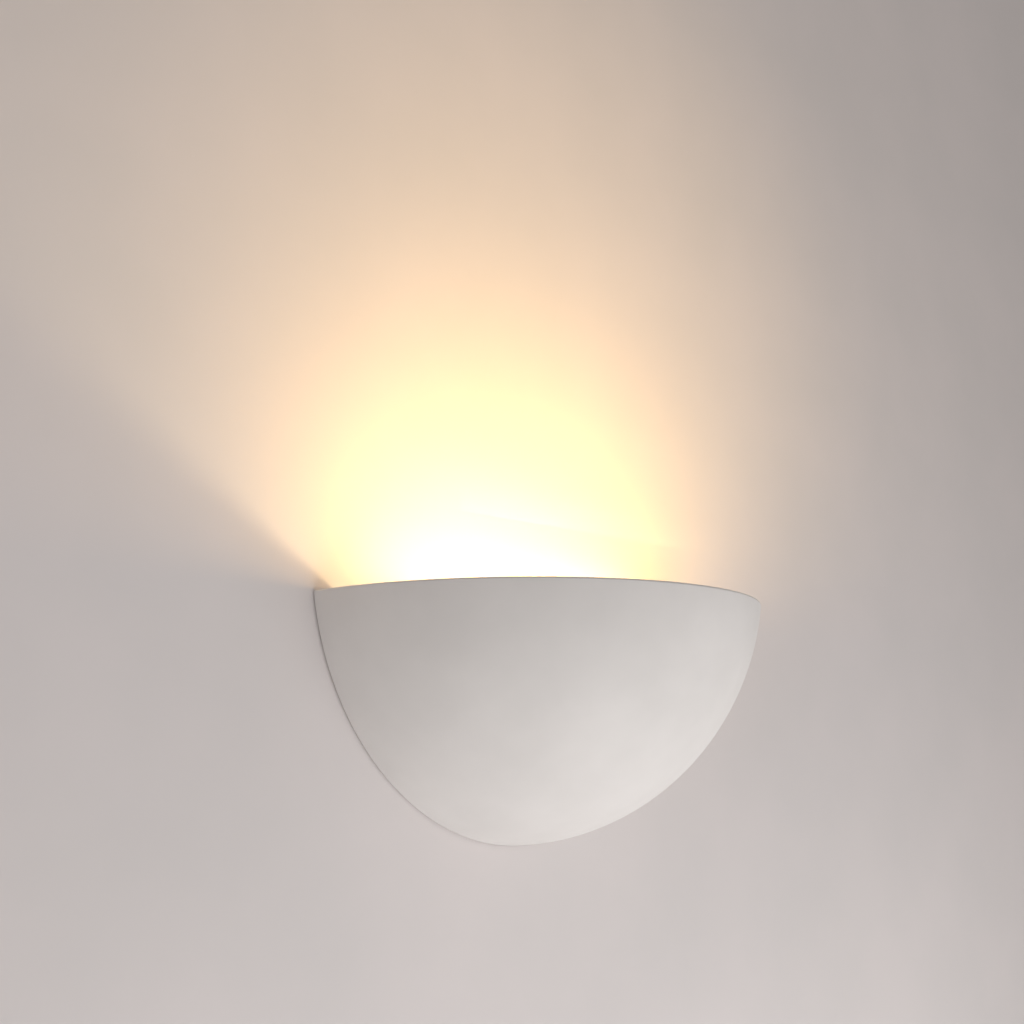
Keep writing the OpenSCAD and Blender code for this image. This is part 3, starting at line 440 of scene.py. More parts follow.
def driver(width_mm, length_mm, depth_mm, top_mm, crossed):
    """A cutter for a screw head: one bar for a slot, two tapering ones for a cross recess."""
    made = []
    for turn in ((0, math.pi / 2) if crossed else (0,)):
        deselect()
        bpy.ops.mesh.primitive_cube_add(size=1.0, location=(0, 0, top_mm / 1000))
        bar = bpy.context.object
        bar.scale = (length_mm / 1000, width_mm / 1000, 2 * depth_mm / 1000)
        bar.rotation_euler = (0, 0, turn)
        bpy.ops.object.transform_apply(location=True, rotation=True, scale=True)
        if crossed:
            bpy.ops.object.mode_set(mode="EDIT")
            mesh = bmesh.from_edit_mesh(bar.data)
            for v in mesh.verts:
                v.select = v.co.z < top_mm / 1000
            mesh.select_flush_mode()
            bmesh.update_edit_mesh(bar.data)
            bpy.ops.transform.resize(value=(0.5, 0.5, 1), center_override=(0, 0, top_mm / 1000))
            bpy.ops.object.mode_set(mode="OBJECT")
        made.append(bar)
    return made


def machine_screw(shank_r, pitch, start, seat, head_r, top, crown, count=4, tip=0.0, steps=40):
    """A round-headed screw: its shank goes from start to seat, and its head from seat to top."""
    edge = 0.2
    end = [(0, start)] + ([(shank_r - tip, start)] if tip else [])
    head = [(head_r - edge, seat), (head_r, seat + edge)]
    rounding = round_corner((head_r - crown, top - crown), crown, 0, 90, count)
    return turned(end + thread(shank_r, start + tip, seat, pitch) + head + rounding + [(0, top)], steps)


def cut(piece, cutters):
    """Takes the cutters' shapes out of a piece."""
    for cutter in cutters:
        shape(piece, "BOOLEAN", object=cutter, operation="DIFFERENCE", solver="EXACT")
        bpy.data.objects.remove(cutter)
    return piece


# Natural nylon: milky white, a little translucent, satin, with a mould grain of 0.4 mm.
natural_nylon, tree, shader, coords = start_material(
    "natural_moulded_nylon", IOR=1.53, Subsurface_Weight=0.1, Subsurface_Radius=(0.002, 0.0018, 0.0014))
cloud(tree, shader, coords, "#dddcd3", "#e9e8e0", 5)
grained(tree, shader, coords, 2500.0, 2.0, rough=(0.38, 0.5), strength=0.15)
deburr("terminal_body", "terminal_block", natural_nylon, "fixture", 0.3, angle=30)
deburr("terminal_tubes", "terminal_barrels", brass, "fixture", 0.15)

block_x, block_y, _ = middle_mm("terminal_body")
pole_pitch, fine_pitch = 10.0, 0.5
clamp_start, clamp_r, clamp_head_r, clamp_head_h, clamp_round = 1.4, 1.3, 1.9, 1.5, 0.4
clamp_reach = box_mm("terminal_screws")[1][2] - clamp_head_r
clamp_top = block_y - box_mm("terminal_screws")[0][1]
clamp_screw = machine_screw(
    clamp_r, fine_pitch, clamp_start, clamp_top - clamp_head_h, clamp_head_r, clamp_top, clamp_round)
cut(clamp_screw, driver(0.6, 5.0, 0.8, clamp_top, crossed=False))
clamp_spots = [((block_x + i * pole_pitch, block_y, s * clamp_reach), (0, -1, 0), 0.35 * i + 0.5 * s)
               for i in (-1, 0, 1) for s in (-1, 1)]
settle(spread(clamp_screw, clamp_spots), "slotted_clamp_screws", bright_zinc, "fixture", "terminal_screws")

fixing_r, fixing_head_r, fixing_head_h, fixing_round = 1.45, 2.5, 1.8, 0.9
fixing_top, fixing_start = (-corner[1] for corner in box_mm("terminal_fixing_screws"))
fixing_screw = machine_screw(
    fixing_r, fine_pitch, fixing_start, fixing_top - fixing_head_h, fixing_head_r, fixing_top,
    fixing_round, count=5)
cut(fixing_screw, driver(0.55, 2.9, 1.0, fixing_top, crossed=True))
fixing_spots = [((block_x + s * pole_pitch / 2, 0, 0), (0, -1, 0), 0.4 * s) for s in (-1, 1)]
settle(spread(fixing_screw, fixing_spots), "block_fixing_screws", bright_zinc, "fixture",
       "terminal_fixing_screws")

# ---- Earth point ----
# A threaded brass stud pressed through the bracket, with the crimped tag, a toothed washer
# and a hexagon nut.
earth_x, _, earth_z = middle_mm("earth_stud")
stud_r, stud_l = box_mm("earth_stud")[1][0] - earth_x, -box_mm("earth_stud")[0][1]
m4_pitch, stud_point = 0.7, 0.4
stud = turned([(0, 0), (stud_r, 0), (stud_r, sheet_t)]
              + thread(stud_r, sheet_t, stud_l - stud_point, m4_pitch)
              + [(stud_r - 0.5, stud_l), (0, stud_l)], steps=48)
settle(place(stud, (earth_x, 0, earth_z), (0, -1, 0)), "earth_bolt", brass, "fixture", "earth_stud")

# Hot-tinned copper: soft grey-white metal, dull and slightly runny from the dip, at 1 mm.
tinned, tree, shader, coords = start_material("hot_tinned_copper", Metallic=1.0)
cloud(tree, shader, coords, "#b4b3ae", "#cfcec9", 1.2)
grained(tree, shader, coords, 1000.0, 2.0, rough=(0.34, 0.5), strength=0.3)
deburr("earth_tag", "ring_tag", tinned, "fixture", 0.15)
washer_low, washer_high = box_mm("earth_washer")
earth_lock = toothed(stud_r + 0.15, (washer_high[2] - washer_low[2]) / 2,
                     washer_high[1] - washer_low[1], teeth=12)
settle(place(earth_lock, (earth_x, washer_high[1], earth_z), (0, -1, 0)),
       "toothed_washer_of_earth", bright_zinc, "fixture", "earth_washer")
deburr("earth_nut", "earth_hexagon_nut", brass, "fixture", 0.3)

# ---- Wires ----
# Stranded copper in extruded PVC, bent by hand: brown and blue from the lampholder to the
# block, green and yellow from the block to the earth tag.
wire_r = 1.1
post_z, post_back, pole_z = 5.5, arm_x - 18, 5.0
brown_route = [
    (post_back, lamp_y, post_z), (post_back + 4, lamp_y, post_z), (16, lamp_y, 3.5), (20, lamp_y, 1.5),
    (28, lamp_y, 1.5), (35, lamp_y, 1.5), (41, -56, 4), (47, -48, 9), (52, -37, 15), (54.5, -22, 20),
    (55, -13, 18.5), (block_x - pole_pitch, block_y, 12), (block_x - pole_pitch, block_y, pole_z),
]
blue_route = [
    (post_back, lamp_y, -post_z), (post_back + 4, lamp_y, -post_z), (16, lamp_y, -3.5),
    (20, lamp_y, -1.5), (28, lamp_y, -1.5), (35, lamp_y, -1.5), (43, -57, -1), (52, -51, 2),
    (60, -42, 9), (64.5, -26, 17), (65, -14, 19), (block_x, block_y, 12.5), (block_x, block_y, pole_z),
]
earth_route = [
    (block_x + pole_pitch, block_y, pole_z), (block_x + pole_pitch, block_y, 12), (78, -10.5, 17.5),
    (84, -9, 18.5), (87, -5, 16), (earth_x, -3.4, 11), (earth_x, -3.4, 7), (earth_x, -3.4, 3),
]


def smooth_line(points, parts=6):
    """Points in millimetres on one smooth curve through the given ones."""
    fine = []
    for i in range(len(points) - 1):
        a, b = Vector(points[max(i - 1, 0)]), Vector(points[i])
        c, d = Vector(points[i + 1]), Vector(points[min(i + 2, len(points) - 1)])
        for t in (k / parts for k in range(parts)):
            fine.append(0.5 * (2 * b + (c - a) * t + (2 * a - 5 * b + 4 * c - d) * t * t
                               + (3 * b - a - 3 * c + d) * t * t * t))
    return fine + [Vector(points[-1])]


def drawn_wire(line, radius_mm, sides=6):
    """A round wire along points in millimetres: a curve with a round bevel, made a mesh."""
    deselect()
    data = bpy.data.curves.new("wire", "CURVE")
    data.dimensions = "3D"
    data.bevel_depth = radius_mm / 1000
    data.bevel_resolution = sides
    data.use_fill_caps = True
    spline = data.splines.new("POLY")
    spline.points.add(len(line) - 1)
    for point, at in zip(spline.points, line):
        point.co = (at[0] / 1000, at[1] / 1000, at[2] / 1000, 1)
    wire = bpy.data.objects.new("wire", data)
    bpy.context.scene.collection.objects.link(wire)
    use(wire)
    bpy.ops.object.convert(target="MESH")
    wire = bpy.context.object
    bpy.ops.object.mode_set(mode="EDIT")
    bpy.ops.mesh.select_all(action="SELECT")
    bpy.ops.mesh.remove_doubles(threshold=1e-6)
    bpy.ops.mesh.normals_make_consistent(inside=False)
    bpy.ops.object.mode_set(mode="OBJECT")
    return wire


# Extruded PVC: satin, clouded over 4 mm, with the draw grain of the die at 0.4 mm.
pvc = {}
for colour, low, high in (("brown", "#4a2818", "#5b3320"), ("blue", "#1c4a94", "#2558a8"),
                          ("green", "#3f8a24", "#4a9a2c"), ("yellow", "#d9c02c", "#e4cc3c")):
    pvc[colour], tree, shader, coords = start_material(colour + "_extruded_pvc", IOR=1.54)
    cloud(tree, shader, coords, low, high, 4)
    grained(tree, shader, coords, 2500.0, 2.0, rough=(0.34, 0.46), strength=0.12)

settle(drawn_wire(smooth_line(brown_route), wire_r), "brown_wire", pvc["brown"], "fixture", "live_wire",
       angle=60)
settle(drawn_wire(smooth_line(blue_route), wire_r), "blue_wire", pvc["blue"], "fixture", "neutral_wire",
       angle=60)
earth_line = smooth_line(earth_route)
green_wire = settle(drawn_wire(earth_line, wire_r), "green_and_yellow_wire", pvc["green"], "fixture",
                    "earth_wire", angle=60)
green_wire.data.materials.append(pvc["yellow"])
stripe_side = Vector((-0.35, -0.55, 0.75)).normalized()
for face in green_wire.data.polygons:
    centre = Vector(face.center) * 1000
    near = min(range(1, len(earth_line) - 1), key=lambda k: (earth_line[k] - centre).length)
    along = (earth_line[near + 1] - earth_line[near - 1]).normalized()
    out, wanted = (v - v.dot(along) * along for v in (centre - earth_line[near], stripe_side))
    if out.length > wire_r / 2 and out.angle(wanted) < math.radians(50):
        face.material_index = 1

# ---- Lamp cap ----
# The cap of the clear ball lamp: rolled brass, nickel plated, with a black glass cone and a
# drop of solder that faces the tongue.

# Tin solder: soft grey and slightly pitted, with a grain of 0.6 mm.
solder, tree, shader, coords = start_material("tin_solder", Metallic=1.0)
cloud(tree, shader, coords, "#a9a9a7", "#c2c2c0", 1)
grained(tree, shader, coords, 1700.0, 2.0, rough=(0.28, 0.42))
deburr("lamp_contact", "solder_drop", solder, "lamp_tip", 0, angle=50)

# Fused black glass: deep and glossy, with slow ripples of 3 mm.
black_glass, tree, shader, coords = start_material("fused_black_glass", IOR=1.5)
cloud(tree, shader, coords, "#0e0e12", "#1a1820", 2)
grained(tree, shader, coords, 330.0, 1.0, rough=(0.08, 0.16), depth_mm=0.2)
deburr("lamp_insulator", "glass_cone", black_glass, "lamp_tip", 0.1)

# Bright nickel on rolled brass: a clean warm silver with a faint bloom of 1 mm.
cap_nickel, tree, shader, coords = start_material("nickel_plated_lamp_cap", Metallic=1.0)
cloud(tree, shader, coords, "#c4c2bc", "#dad8d2", 3)
grained(tree, shader, coords, 900.0, 2.0, rough=(0.16, 0.3), strength=0.1)
deburr("lamp_cap", "screw_cap", cap_nickel, "lamp", 0, angle=40)

# ---- Glass and filament ----
# A ball blown in soda glass with a pressed glass mount in its neck. Two nickel wires feed a
# coiled tungsten filament, and two thin hooks hold up its middle.

# Blown soda glass: clear, with the slight waves of the mould, about 17 mm across.
clear_glass, tree, shader, coords = start_material(
    "clear_blown_glass", Base_Color=srgb("#fdfefe"), IOR=1.5, Roughness=0.0, Transmission_Weight=1.0)
grained(tree, shader, coords, 60.0, 1.0, strength=0.15, depth_mm=0.4)

lamp_start_x = box_mm("lamp_contact")[1][0]
glass_low, glass_high = box_mm("lamp_glass")
ball_r = (glass_high[2] - glass_low[2]) / 2
glass_seat, ball_c = lamp_start_x - glass_high[0], lamp_start_x - glass_low[0] - ball_r
neck_r, neck_fillet, glass_t = 7.9, 18.0, 0.8
fillet_rise = math.acos((neck_r + neck_fillet) / (ball_r + neck_fillet))
neck_top = ball_c - (ball_r + neck_fillet) * math.sin(fillet_rise)


def glass_wall(inset):
    """Neck, fillet and ball in one line of profile points, from the cap to the far end."""
    angle = math.degrees(fillet_rise)
    ball = round_corner((0, ball_c), ball_r - inset, -angle, 90, 48)
    return ([(neck_r - inset, glass_seat)]
            + round_corner((neck_r + neck_fillet, neck_top), neck_fillet + inset, 180, 180 - angle, 14)
            + ball[1:-1] + [(0, ball_c + ball_r - inset)])


glass = turned(glass_wall(0) + glass_wall(glass_t)[::-1] + [(neck_r, glass_seat)], steps=96)
settle(place(glass, (lamp_start_x, lamp_y, lamp_z), (-1, 0, 0)), "blown_ball", clear_glass, "lamp",
       "lamp_glass", angle=60).visible_shadow = False
deburr("lamp_stem", "glass_mount", clear_glass, "lamp", 0, angle=50).visible_shadow = False

# Drawn nickel wire: grey, satin, with a draw grain of 0.4 mm.
nickel_wire, tree, shader, coords = start_material("drawn_nickel_wire", Metallic=1.0)
cloud(tree, shader, coords, "#8f8c86", "#a8a59e", 0.8)
grained(tree, shader, coords, 2500.0, 2.0, rough=(0.26, 0.4), strength=0.1)
deburr("lamp_lead_wires", "lead_wires", nickel_wire, "lamp", 0, angle=50)

filament_x, ring_r = middle_mm("lamp_filament")[0], 10.0
hook_r, eye_r, hook_sunk = 0.16, 0.62, 0.8
hooks = []
for side in (-1, 1):
    eye = Vector((filament_x, lamp_y + ring_r * math.sin(math.pi / 3), side * ring_r / 2))
    root = Vector((box_mm("lamp_stem")[0][0] + hook_sunk, lamp_y + 0.7, side * 0.6))
    across = Vector((0, eye.y - lamp_y, eye.z)).normalized()
    curl = [eye + eye_r * (math.cos(a) * Vector((1, 0, 0)) + math.sin(a) * across)
            for a in [math.pi * k / 6 for k in range(11)]]
    hooks.append(drawn_wire([root, root.lerp(eye, 0.5)] + curl, hook_r, sides=2))
use(hooks[0])
hooks[1].select_set(True)
bpy.ops.object.join()
settle(bpy.context.object, "filament_hooks", nickel_wire, "lamp", "lamp_supports", angle=60)

# Tungsten at work: the coil glows warm white. Its turns are drawn at 1 mm, coarser than real.
tungsten, tree, shader, coords = start_material(
    "glowing_tungsten", Base_Color=srgb("#ffd9a0"), Emission_Color=srgb("#ffd08a"), Emission_Strength=12.0)
grained(tree, shader, coords, 300.0, 1.0, rough=(0.5, 0.6), strength=0.1)
coil_turns, turn_points, coil_r, coil_wire_r = 32, 12, 0.42, 0.17
coil = []
for k in range(coil_turns * turn_points + 1):
    along, about = math.pi * k / (coil_turns * turn_points), math.tau * k / turn_points
    reach = ring_r + coil_r * math.cos(about)
    coil.append((filament_x + coil_r * math.sin(about), lamp_y + reach * math.sin(along),
                 lamp_z + reach * math.cos(along)))
settle(drawn_wire(coil, coil_wire_r, sides=1), "coiled_filament", tungsten, "lamp", "lamp_filament",
       angle=80)

# ---- Thumb screws and washers ----
# Brass screws with a knurled head, turned by hand without a tool, each on a plated washer.
# They clamp the shade's hangers on the ledges.
washer_bore_r, washer_edge, washer_rim = 2.0, 0.15, 0.3
thumb_r, thumb_tip_r, collar_r, collar_h, knurl_start = 1.95, 1.2, 4.9, 1.5, 2.1
head_break, dish_r, dish_depth, knurl_columns = 0.6, 2.8, 0.5, 96
for word in ("left", "right"):
    washer_low, washer_high = box_mm("thumb_washer_" + word)
    centre = middle_mm("thumb_washer_" + word)
    washer_r, washer_t = (washer_high[0] - washer_low[0]) / 2, washer_high[2] - washer_low[2]
    washer = turned(
        [(washer_bore_r, washer_edge), (washer_bore_r + washer_edge, 0), (washer_r - washer_rim, 0),
         (washer_r, washer_rim), (washer_r, washer_t - washer_rim), (washer_r - washer_rim, washer_t),
         (washer_bore_r + washer_edge, washer_t), (washer_bore_r, washer_t - washer_edge),
         (washer_bore_r, washer_edge)])
    settle(place(washer, (centre[0], centre[1], washer_low[2]), (0, 0, 1)), "plain_washer_" + word,
           bright_zinc, word + "_washer", "thumb_washer_" + word)

    screw_low, screw_high = box_mm("thumb_screw_" + word)
    head_r, seat_z = (screw_high[0] - screw_low[0]) / 2, washer_high[2]
    shank_l, head_h = seat_z - screw_low[2], screw_high[2] - seat_z
    thumb_screw = turned(
        [(0, -shank_l), (thumb_tip_r, -shank_l)] + thread(thumb_r, 0.5 - shank_l, 0, m4_pitch)
        + [(collar_r - 0.3, 0), (collar_r, 0.3), (collar_r, collar_h - 0.3), (collar_r - 0.4, collar_h),
           (head_r - 0.5, knurl_start - 0.4), (head_r, knurl_start), (head_r, head_h - head_break),
           (head_r - head_break, head_h), (dish_r + 0.4, head_h), (dish_r, head_h - dish_depth),
           (0, head_h - dish_depth)], steps=knurl_columns)
    flute(thumb_screw, knurl_columns, knurl_start, head_h - head_break, head_r, every=2, depth_mm=0.3)
    settle(place(thumb_screw, (centre[0], centre[1], seat_z), (0, 0, 1)), "knurled_screw_" + word,
           brass, word + "_screw", "thumb_screw_" + word, angle=30)

# ---- Hangers, their screws and the inserts ----
# Two angle plates of thicker sheet, plated as the bracket is, carry the shade. Each is held by
# two pan-head screws in brass inserts that are cast into the shade's lugs.
deburr("hanger_left", "hanger_plate_left", zinc_sheet, "shade", 0.3)
deburr("hanger_right", "hanger_plate_right", zinc_sheet, "shade", 0.3)
deburr("shade_inserts", "cast_in_inserts", brass, "shade", 0.2)

lug_x, hanger_t = box_mm("hanger_right")[1][0], 2.0
screw_low, screw_high = box_mm("hanger_screws")
pan_r, pan_head_r, pan_rise, pan_round, pan_tip = 1.95, 3.8, 4.6, 1.6, 0.5
screw_tail = screw_high[0] - lug_x
pan_screw = machine_screw(pan_r, m4_pitch, -screw_tail, hanger_t, pan_head_r, pan_rise, pan_round,
                          count=6, tip=pan_tip, steps=48)
cut(pan_screw, driver(0.8, 4.4, 1.5, pan_rise, crossed=True))
pan_spots = [((s * lug_x, y, (screw_low[2] + screw_high[2]) / 2), (-s, 0, 0), 0.3 * i + 0.5 * s)
             for s in (-1, 1)
             for i, y in enumerate((screw_low[1] + pan_head_r, screw_high[1] - pan_head_r))]
settle(spread(pan_screw, pan_spots), "pan_head_screws", bright_zinc, "shade", "hanger_screws")

# ---- Plaster shade ----
# The half bowl, cast in plaster in a two-part mould, rubbed down by hand and painted matt white.
# Its back edge stands just clear of the wall, and each side carries a lug inside for a hanger.
shade_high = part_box("plaster_shade")[1]
bowl_back_y, rim_z = shade_high[1], shade_high[2]
shade_w, shade_depth, shade_h, bulge_rise = 0.310, 0.150, 0.141, 0.021
bowl_skin, rim_round, bowl_steps = 0.010, 0.0015, 224
rim_r = ((shade_w / 2) ** 2 + shade_depth ** 2) / (2 * shade_depth)
bowl_centre = (0.0, rim_r - shade_depth, rim_z + bulge_rise)
bowl_half_h = shade_h + bulge_rise
bowl_half_w = rim_r / math.sqrt(1 - (bulge_rise / bowl_half_h) ** 2)


def pick(obj, kind, test):
    """In edit mode, selects just the vertices or edges whose points all pass a test."""
    bpy.ops.mesh.select_mode(type=kind)
    bpy.ops.mesh.select_all(action="DESELECT")
    mesh = bmesh.from_edit_mesh(obj.data)
    for item in (mesh.verts if kind == "VERT" else mesh.edges):
        item.select = test(item.co) if kind == "VERT" else all(test(v.co) for v in item.verts)
    mesh.select_flush_mode()
    bmesh.update_edit_mesh(obj.data)


def bowl_line(inset):
    """The quarter of an ellipse from the lowest point up to the rim, as a chain of edges."""
    half_w, half_h = bowl_half_w - inset, bowl_half_h - inset
    deselect()
    bpy.ops.mesh.primitive_circle_add(
        vertices=256, radius=1.0, location=bowl_centre, rotation=(math.pi / 2, 0, 0))
    line = bpy.context.object
    line.scale = (half_w, half_h, 1)
    bpy.ops.object.transform_apply(location=True, rotation=True, scale=True)
    bpy.ops.object.mode_set(mode="EDIT")
    pick(line, "VERT", lambda co: co.x < -1e-5 or co.z > rim_z - 0.0005)
    bpy.ops.mesh.delete(type="VERT")
    mesh = bmesh.from_edit_mesh(line.data)
    top = max(mesh.verts, key=lambda v: v.co.z)
    drop = (bowl_centre[2] - rim_z) / half_h
    top.co.x, top.co.z = half_w * math.sqrt(1 - drop * drop), rim_z
    min(mesh.verts, key=lambda v: v.co.z).co.x = 0.0
    bmesh.update_edit_mesh(line.data)
    bpy.ops.object.mode_set(mode="OBJECT")
    return line


def spin_bowl():
    """Spins the open piece's chain of edges about the bowl's upright axis, and closes the result."""
    bpy.ops.mesh.select_all(action="SELECT")
    bpy.ops.mesh.spin(steps=bowl_steps, angle=math.tau, center=bowl_centre, axis=(0, 0, 1))
    bpy.ops.mesh.select_all(action="SELECT")
    bpy.ops.mesh.remove_doubles(threshold=1e-6)
    bpy.ops.mesh.select_all(action="SELECT")
    bpy.ops.mesh.normals_make_consistent(inside=False)


inner_line = bowl_line(bowl_skin)
bowl = bowl_line(0.0)
use(bowl)
inner_line.select_set(True)
bpy.ops.object.join()
bpy.ops.object.mode_set(mode="EDIT")
pick(bowl, "VERT", lambda co: co.z > rim_z - 1e-6)
bpy.ops.mesh.edge_face_add()
spin_bowl()
pick(bowl, "EDGE", lambda co: co.z > rim_z - 1e-6)
bpy.ops.mesh.select_mode(type="EDGE")
rim_mesh = bmesh.from_edit_mesh(bowl.data)
for edge in rim_mesh.edges:
    a, b = (math.hypot(v.co.x, v.co.y - bowl_centre[1]) for v in edge.verts)
    edge.select = edge.select and abs(a - b) < 1e-4
bmesh.update_edit_mesh(bowl.data)
bpy.ops.mesh.bevel(offset=rim_round, segments=5, profile=0.5)
bpy.ops.object.mode_set(mode="OBJECT")

# The lugs: blocks with rounded corners, trimmed by the bowl's own form halfway into its skin.
core = bowl_line(bowl_skin / 2)
use(core)
bpy.ops.object.mode_set(mode="EDIT")
pick(core, "VERT", lambda co: co.z > rim_z - 1e-6)
rim_point = max(bmesh.from_edit_mesh(core.data).verts, key=lambda v: v.co.z)
bpy.ops.mesh.extrude_vertices_move(TRANSFORM_OT_translate={"value": (-rim_point.co.x, 0, 0)})
spin_bowl()
bpy.ops.object.mode_set(mode="OBJECT")
lug_round = 0.005
hanger_low, hanger_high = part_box("hanger_right")
lug_low = (lug_x / 1000, hanger_low[1] - lug_round, hanger_low[2] - lug_round / 2)
lug_high = (bowl_half_w, hanger_high[1] + lug_round, hanger_high[2] + lug_round / 2)
for side in (-1, 1):
    deselect()
    bpy.ops.mesh.primitive_cube_add(
        size=1.0, location=(side * (lug_low[0] + lug_high[0]) / 2, (lug_low[1] + lug_high[1]) / 2,
                            (lug_low[2] + lug_high[2]) / 2))
    lug = bpy.context.object
    lug.scale = [high - low for low, high in zip(lug_low, lug_high)]
    bpy.ops.object.transform_apply(location=True, rotation=True, scale=True)
    bpy.ops.object.mode_set(mode="EDIT")
    bpy.ops.mesh.select_mode(type="EDGE")
    bpy.ops.mesh.select_all(action="DESELECT")
    lug_mesh = bmesh.from_edit_mesh(lug.data)
    for edge in lug_mesh.edges:
        edge.select = abs(edge.verts[0].co.x - edge.verts[1].co.x) > lug_round
    bmesh.update_edit_mesh(lug.data)
    bpy.ops.mesh.bevel(offset=lug_round, segments=6, profile=0.5)
    bpy.ops.object.mode_set(mode="OBJECT")
    shape(lug, "BOOLEAN", object=core, operation="INTERSECT", solver="EXACT")
    shape(bowl, "BOOLEAN", object=lug, operation="UNION", solver="EXACT")
    bpy.data.objects.remove(lug)
bpy.data.objects.remove(core)

use(bowl)
bpy.ops.object.mode_set(mode="EDIT")
bpy.ops.mesh.select_all(action="SELECT")
bpy.ops.mesh.bisect(plane_co=(0, bowl_back_y, 0), plane_no=(0, 1, 0), use_fill=True, clear_outer=True)
bpy.ops.object.mode_set(mode="OBJECT")
insert_r, insert_l = 3.05, 8.0
for spot, way, _ in pan_spots:
    drill = turned([(0, 0.5), (insert_r, 0.5), (insert_r, -insert_l), (0, -insert_l)], steps=32)
    cut(bowl, [place(drill, spot, way)])

# Gypsum under matt emulsion: warm white, dead matt, with a sandy tooth of about 0.6 mm and
# the long shallow waves of 45 mm that rubbing down by hand leaves.
plaster, tree, shader, coords = start_material(
    "painted_cast_plaster", IOR=1.45, Specular_IOR_Level=0.25)
cloud(tree, shader, coords, "#e3e0de", "#e9e6e4", 45, spread=(0.3, 0.7))
tooth = add(tree, "ShaderNodeTexNoise", {"Vector": coords, "Scale": 1600.0, "Detail": 3.0})
long_waves = add(tree, "ShaderNodeTexNoise", {"Vector": coords, "Scale": 22.0, "Detail": 2.0})
height = add(tree, "ShaderNodeMath", {0: tooth.outputs["Fac"], 1: 0.05, 2: long_waves.outputs["Fac"]},
             operation="MULTIPLY_ADD")
surface(tree, shader, height.outputs[0], rough=(0.88, 0.96), strength=0.5, depth_mm=0.8)
settle(bowl, "plaster_bowl", plaster, "shade", "plaster_shade", angle=40)

# ---- Wall, floor, light and camera ----
# Not part of the object: a pale wall that is clear from behind, a pale floor, soft light from
# below and from the right, the lamp's own warm light, and the camera low on the left.

# Matt wall paint: warm grey-white, clouded over 120 mm. It lets lamps and reflections through, so
# that the back can be lit and seen, and is solid for the light that bounces off it.
wall_paint, tree, shader, coords = start_material(
    "stage_wall_paint", Roughness=0.95, Specular_IOR_Level=0.2)
cloud(tree, shader, coords, "#e1dcdb", "#e5dfde", 120)
back = add(tree, "ShaderNodeNewGeometry").outputs["Backfacing"]
path = add(tree, "ShaderNodeLightPath")
passed = add(tree, "ShaderNodeMath", {0: path.outputs["Is Shadow Ray"], 1: path.outputs["Is Glossy Ray"]},
             operation="MAXIMUM")
clear = add(tree, "ShaderNodeMath", {0: passed.outputs[0], 1: back}, operation="MAXIMUM")
see_through = add(tree, "ShaderNodeBsdfTransparent")
mix = add(tree, "ShaderNodeMixShader", {0: clear.outputs[0], 1: shader.outputs[0], 2: see_through.outputs[0]})
tree.links.new(mix.outputs[0], tree.nodes["Material Output"].inputs["Surface"])

wall_size, wall_below, wall_gap, floor_size = 5.0, 0.75, 0.0004, 8.0
bpy.ops.mesh.primitive_plane_add(
    size=wall_size, location=(0, wall_gap, wall_size / 2 - wall_below), rotation=(math.pi / 2, 0, 0))
wall = bpy.context.object
wall.name = "stage_wall"
wall.data.materials.append(wall_paint)
bpy.ops.object.transform_apply(location=True, rotation=True, scale=True)

# Matt floor paint: near white, clouded over 150 mm. It glows a little for the camera, in
# reflections and through glass, so it looks paler there than the light it throws on the object.
floor_paint, tree, shader, coords = start_material("stage_floor_paint", Roughness=0.9)
cloud(tree, shader, coords, "#e0deda", "#e4e2de", 150)
path = add(tree, "ShaderNodeLightPath")
seen = add(tree, "ShaderNodeMath", {0: path.outputs["Is Camera Ray"], 1: path.outputs["Is Glossy Ray"]},
           operation="MAXIMUM")
seen = add(tree, "ShaderNodeMath", {0: seen.outputs[0], 1: path.outputs["Is Transmission Ray"]},
           operation="MAXIMUM")
paler = add(tree, "ShaderNodeMath", {0: seen.outputs[0], 1: 0.45}, operation="MULTIPLY")
tree.links.new(paler.outputs[0], shader.inputs["Emission Strength"])
shader.inputs["Emission Color"].default_value = srgb("#f2f0ee")
bpy.ops.mesh.primitive_plane_add(size=floor_size, location=(0, 0, -wall_below))
floor = bpy.context.object
floor.name = "stage_floor"
floor.data.materials.append(floor_paint)

world = bpy.data.worlds.new("soft_studio")
bpy.context.scene.world = world
world.use_nodes = True
tree = world.node_tree
sky = tree.nodes["Background"]
sky.inputs["Color"].default_value = srgb("#f0ebe9")
sky.inputs["Strength"].default_value = 0.455
path = add(tree, "ShaderNodeLightPath")
seen = add(tree, "ShaderNodeMath", {0: path.outputs["Is Camera Ray"], 1: path.outputs["Is Transmission Ray"]},
           operation="MAXIMUM")
paper = add(tree, "ShaderNodeBackground", {"Color": srgb("#efeeec"), "Strength": 1.0})
mix = add(tree, "ShaderNodeMixShader", {0: seen.outputs[0], 1: sky.outputs[0], 2: paper.outputs[0]})
tree.links.new(mix.outputs[0], tree.nodes["World Output"].inputs["Surface"])


def lamp_light(kind, name, energy, place, aim=None, **settings):
    """Adds one light at a place, turned so that it shines towards aim."""
    data = bpy.data.lights.new(name, kind)
    data.energy = energy
    for key, value in settings.items():
        setattr(data, key, value)
    light = bpy.data.objects.new(name, data)
    bpy.context.scene.collection.objects.link(light)
    light.location = place
    if aim is not None:
        light.rotation_euler = (Vector(aim) - Vector(place)).to_track_quat("-Z", "Y").to_euler()
    return light


shade_middle = (0, -0.05, 0)
right_soft = lamp_light("AREA", "key_right", 0.25, (1.1, -1.2, -0.35), shade_middle, size=1.0)
low_soft = lamp_light("AREA", "low_front", 9.9, (0.04, -0.36, -0.72), shade_middle, size=1.3)
right_soft.visible_camera = low_soft.visible_camera = False
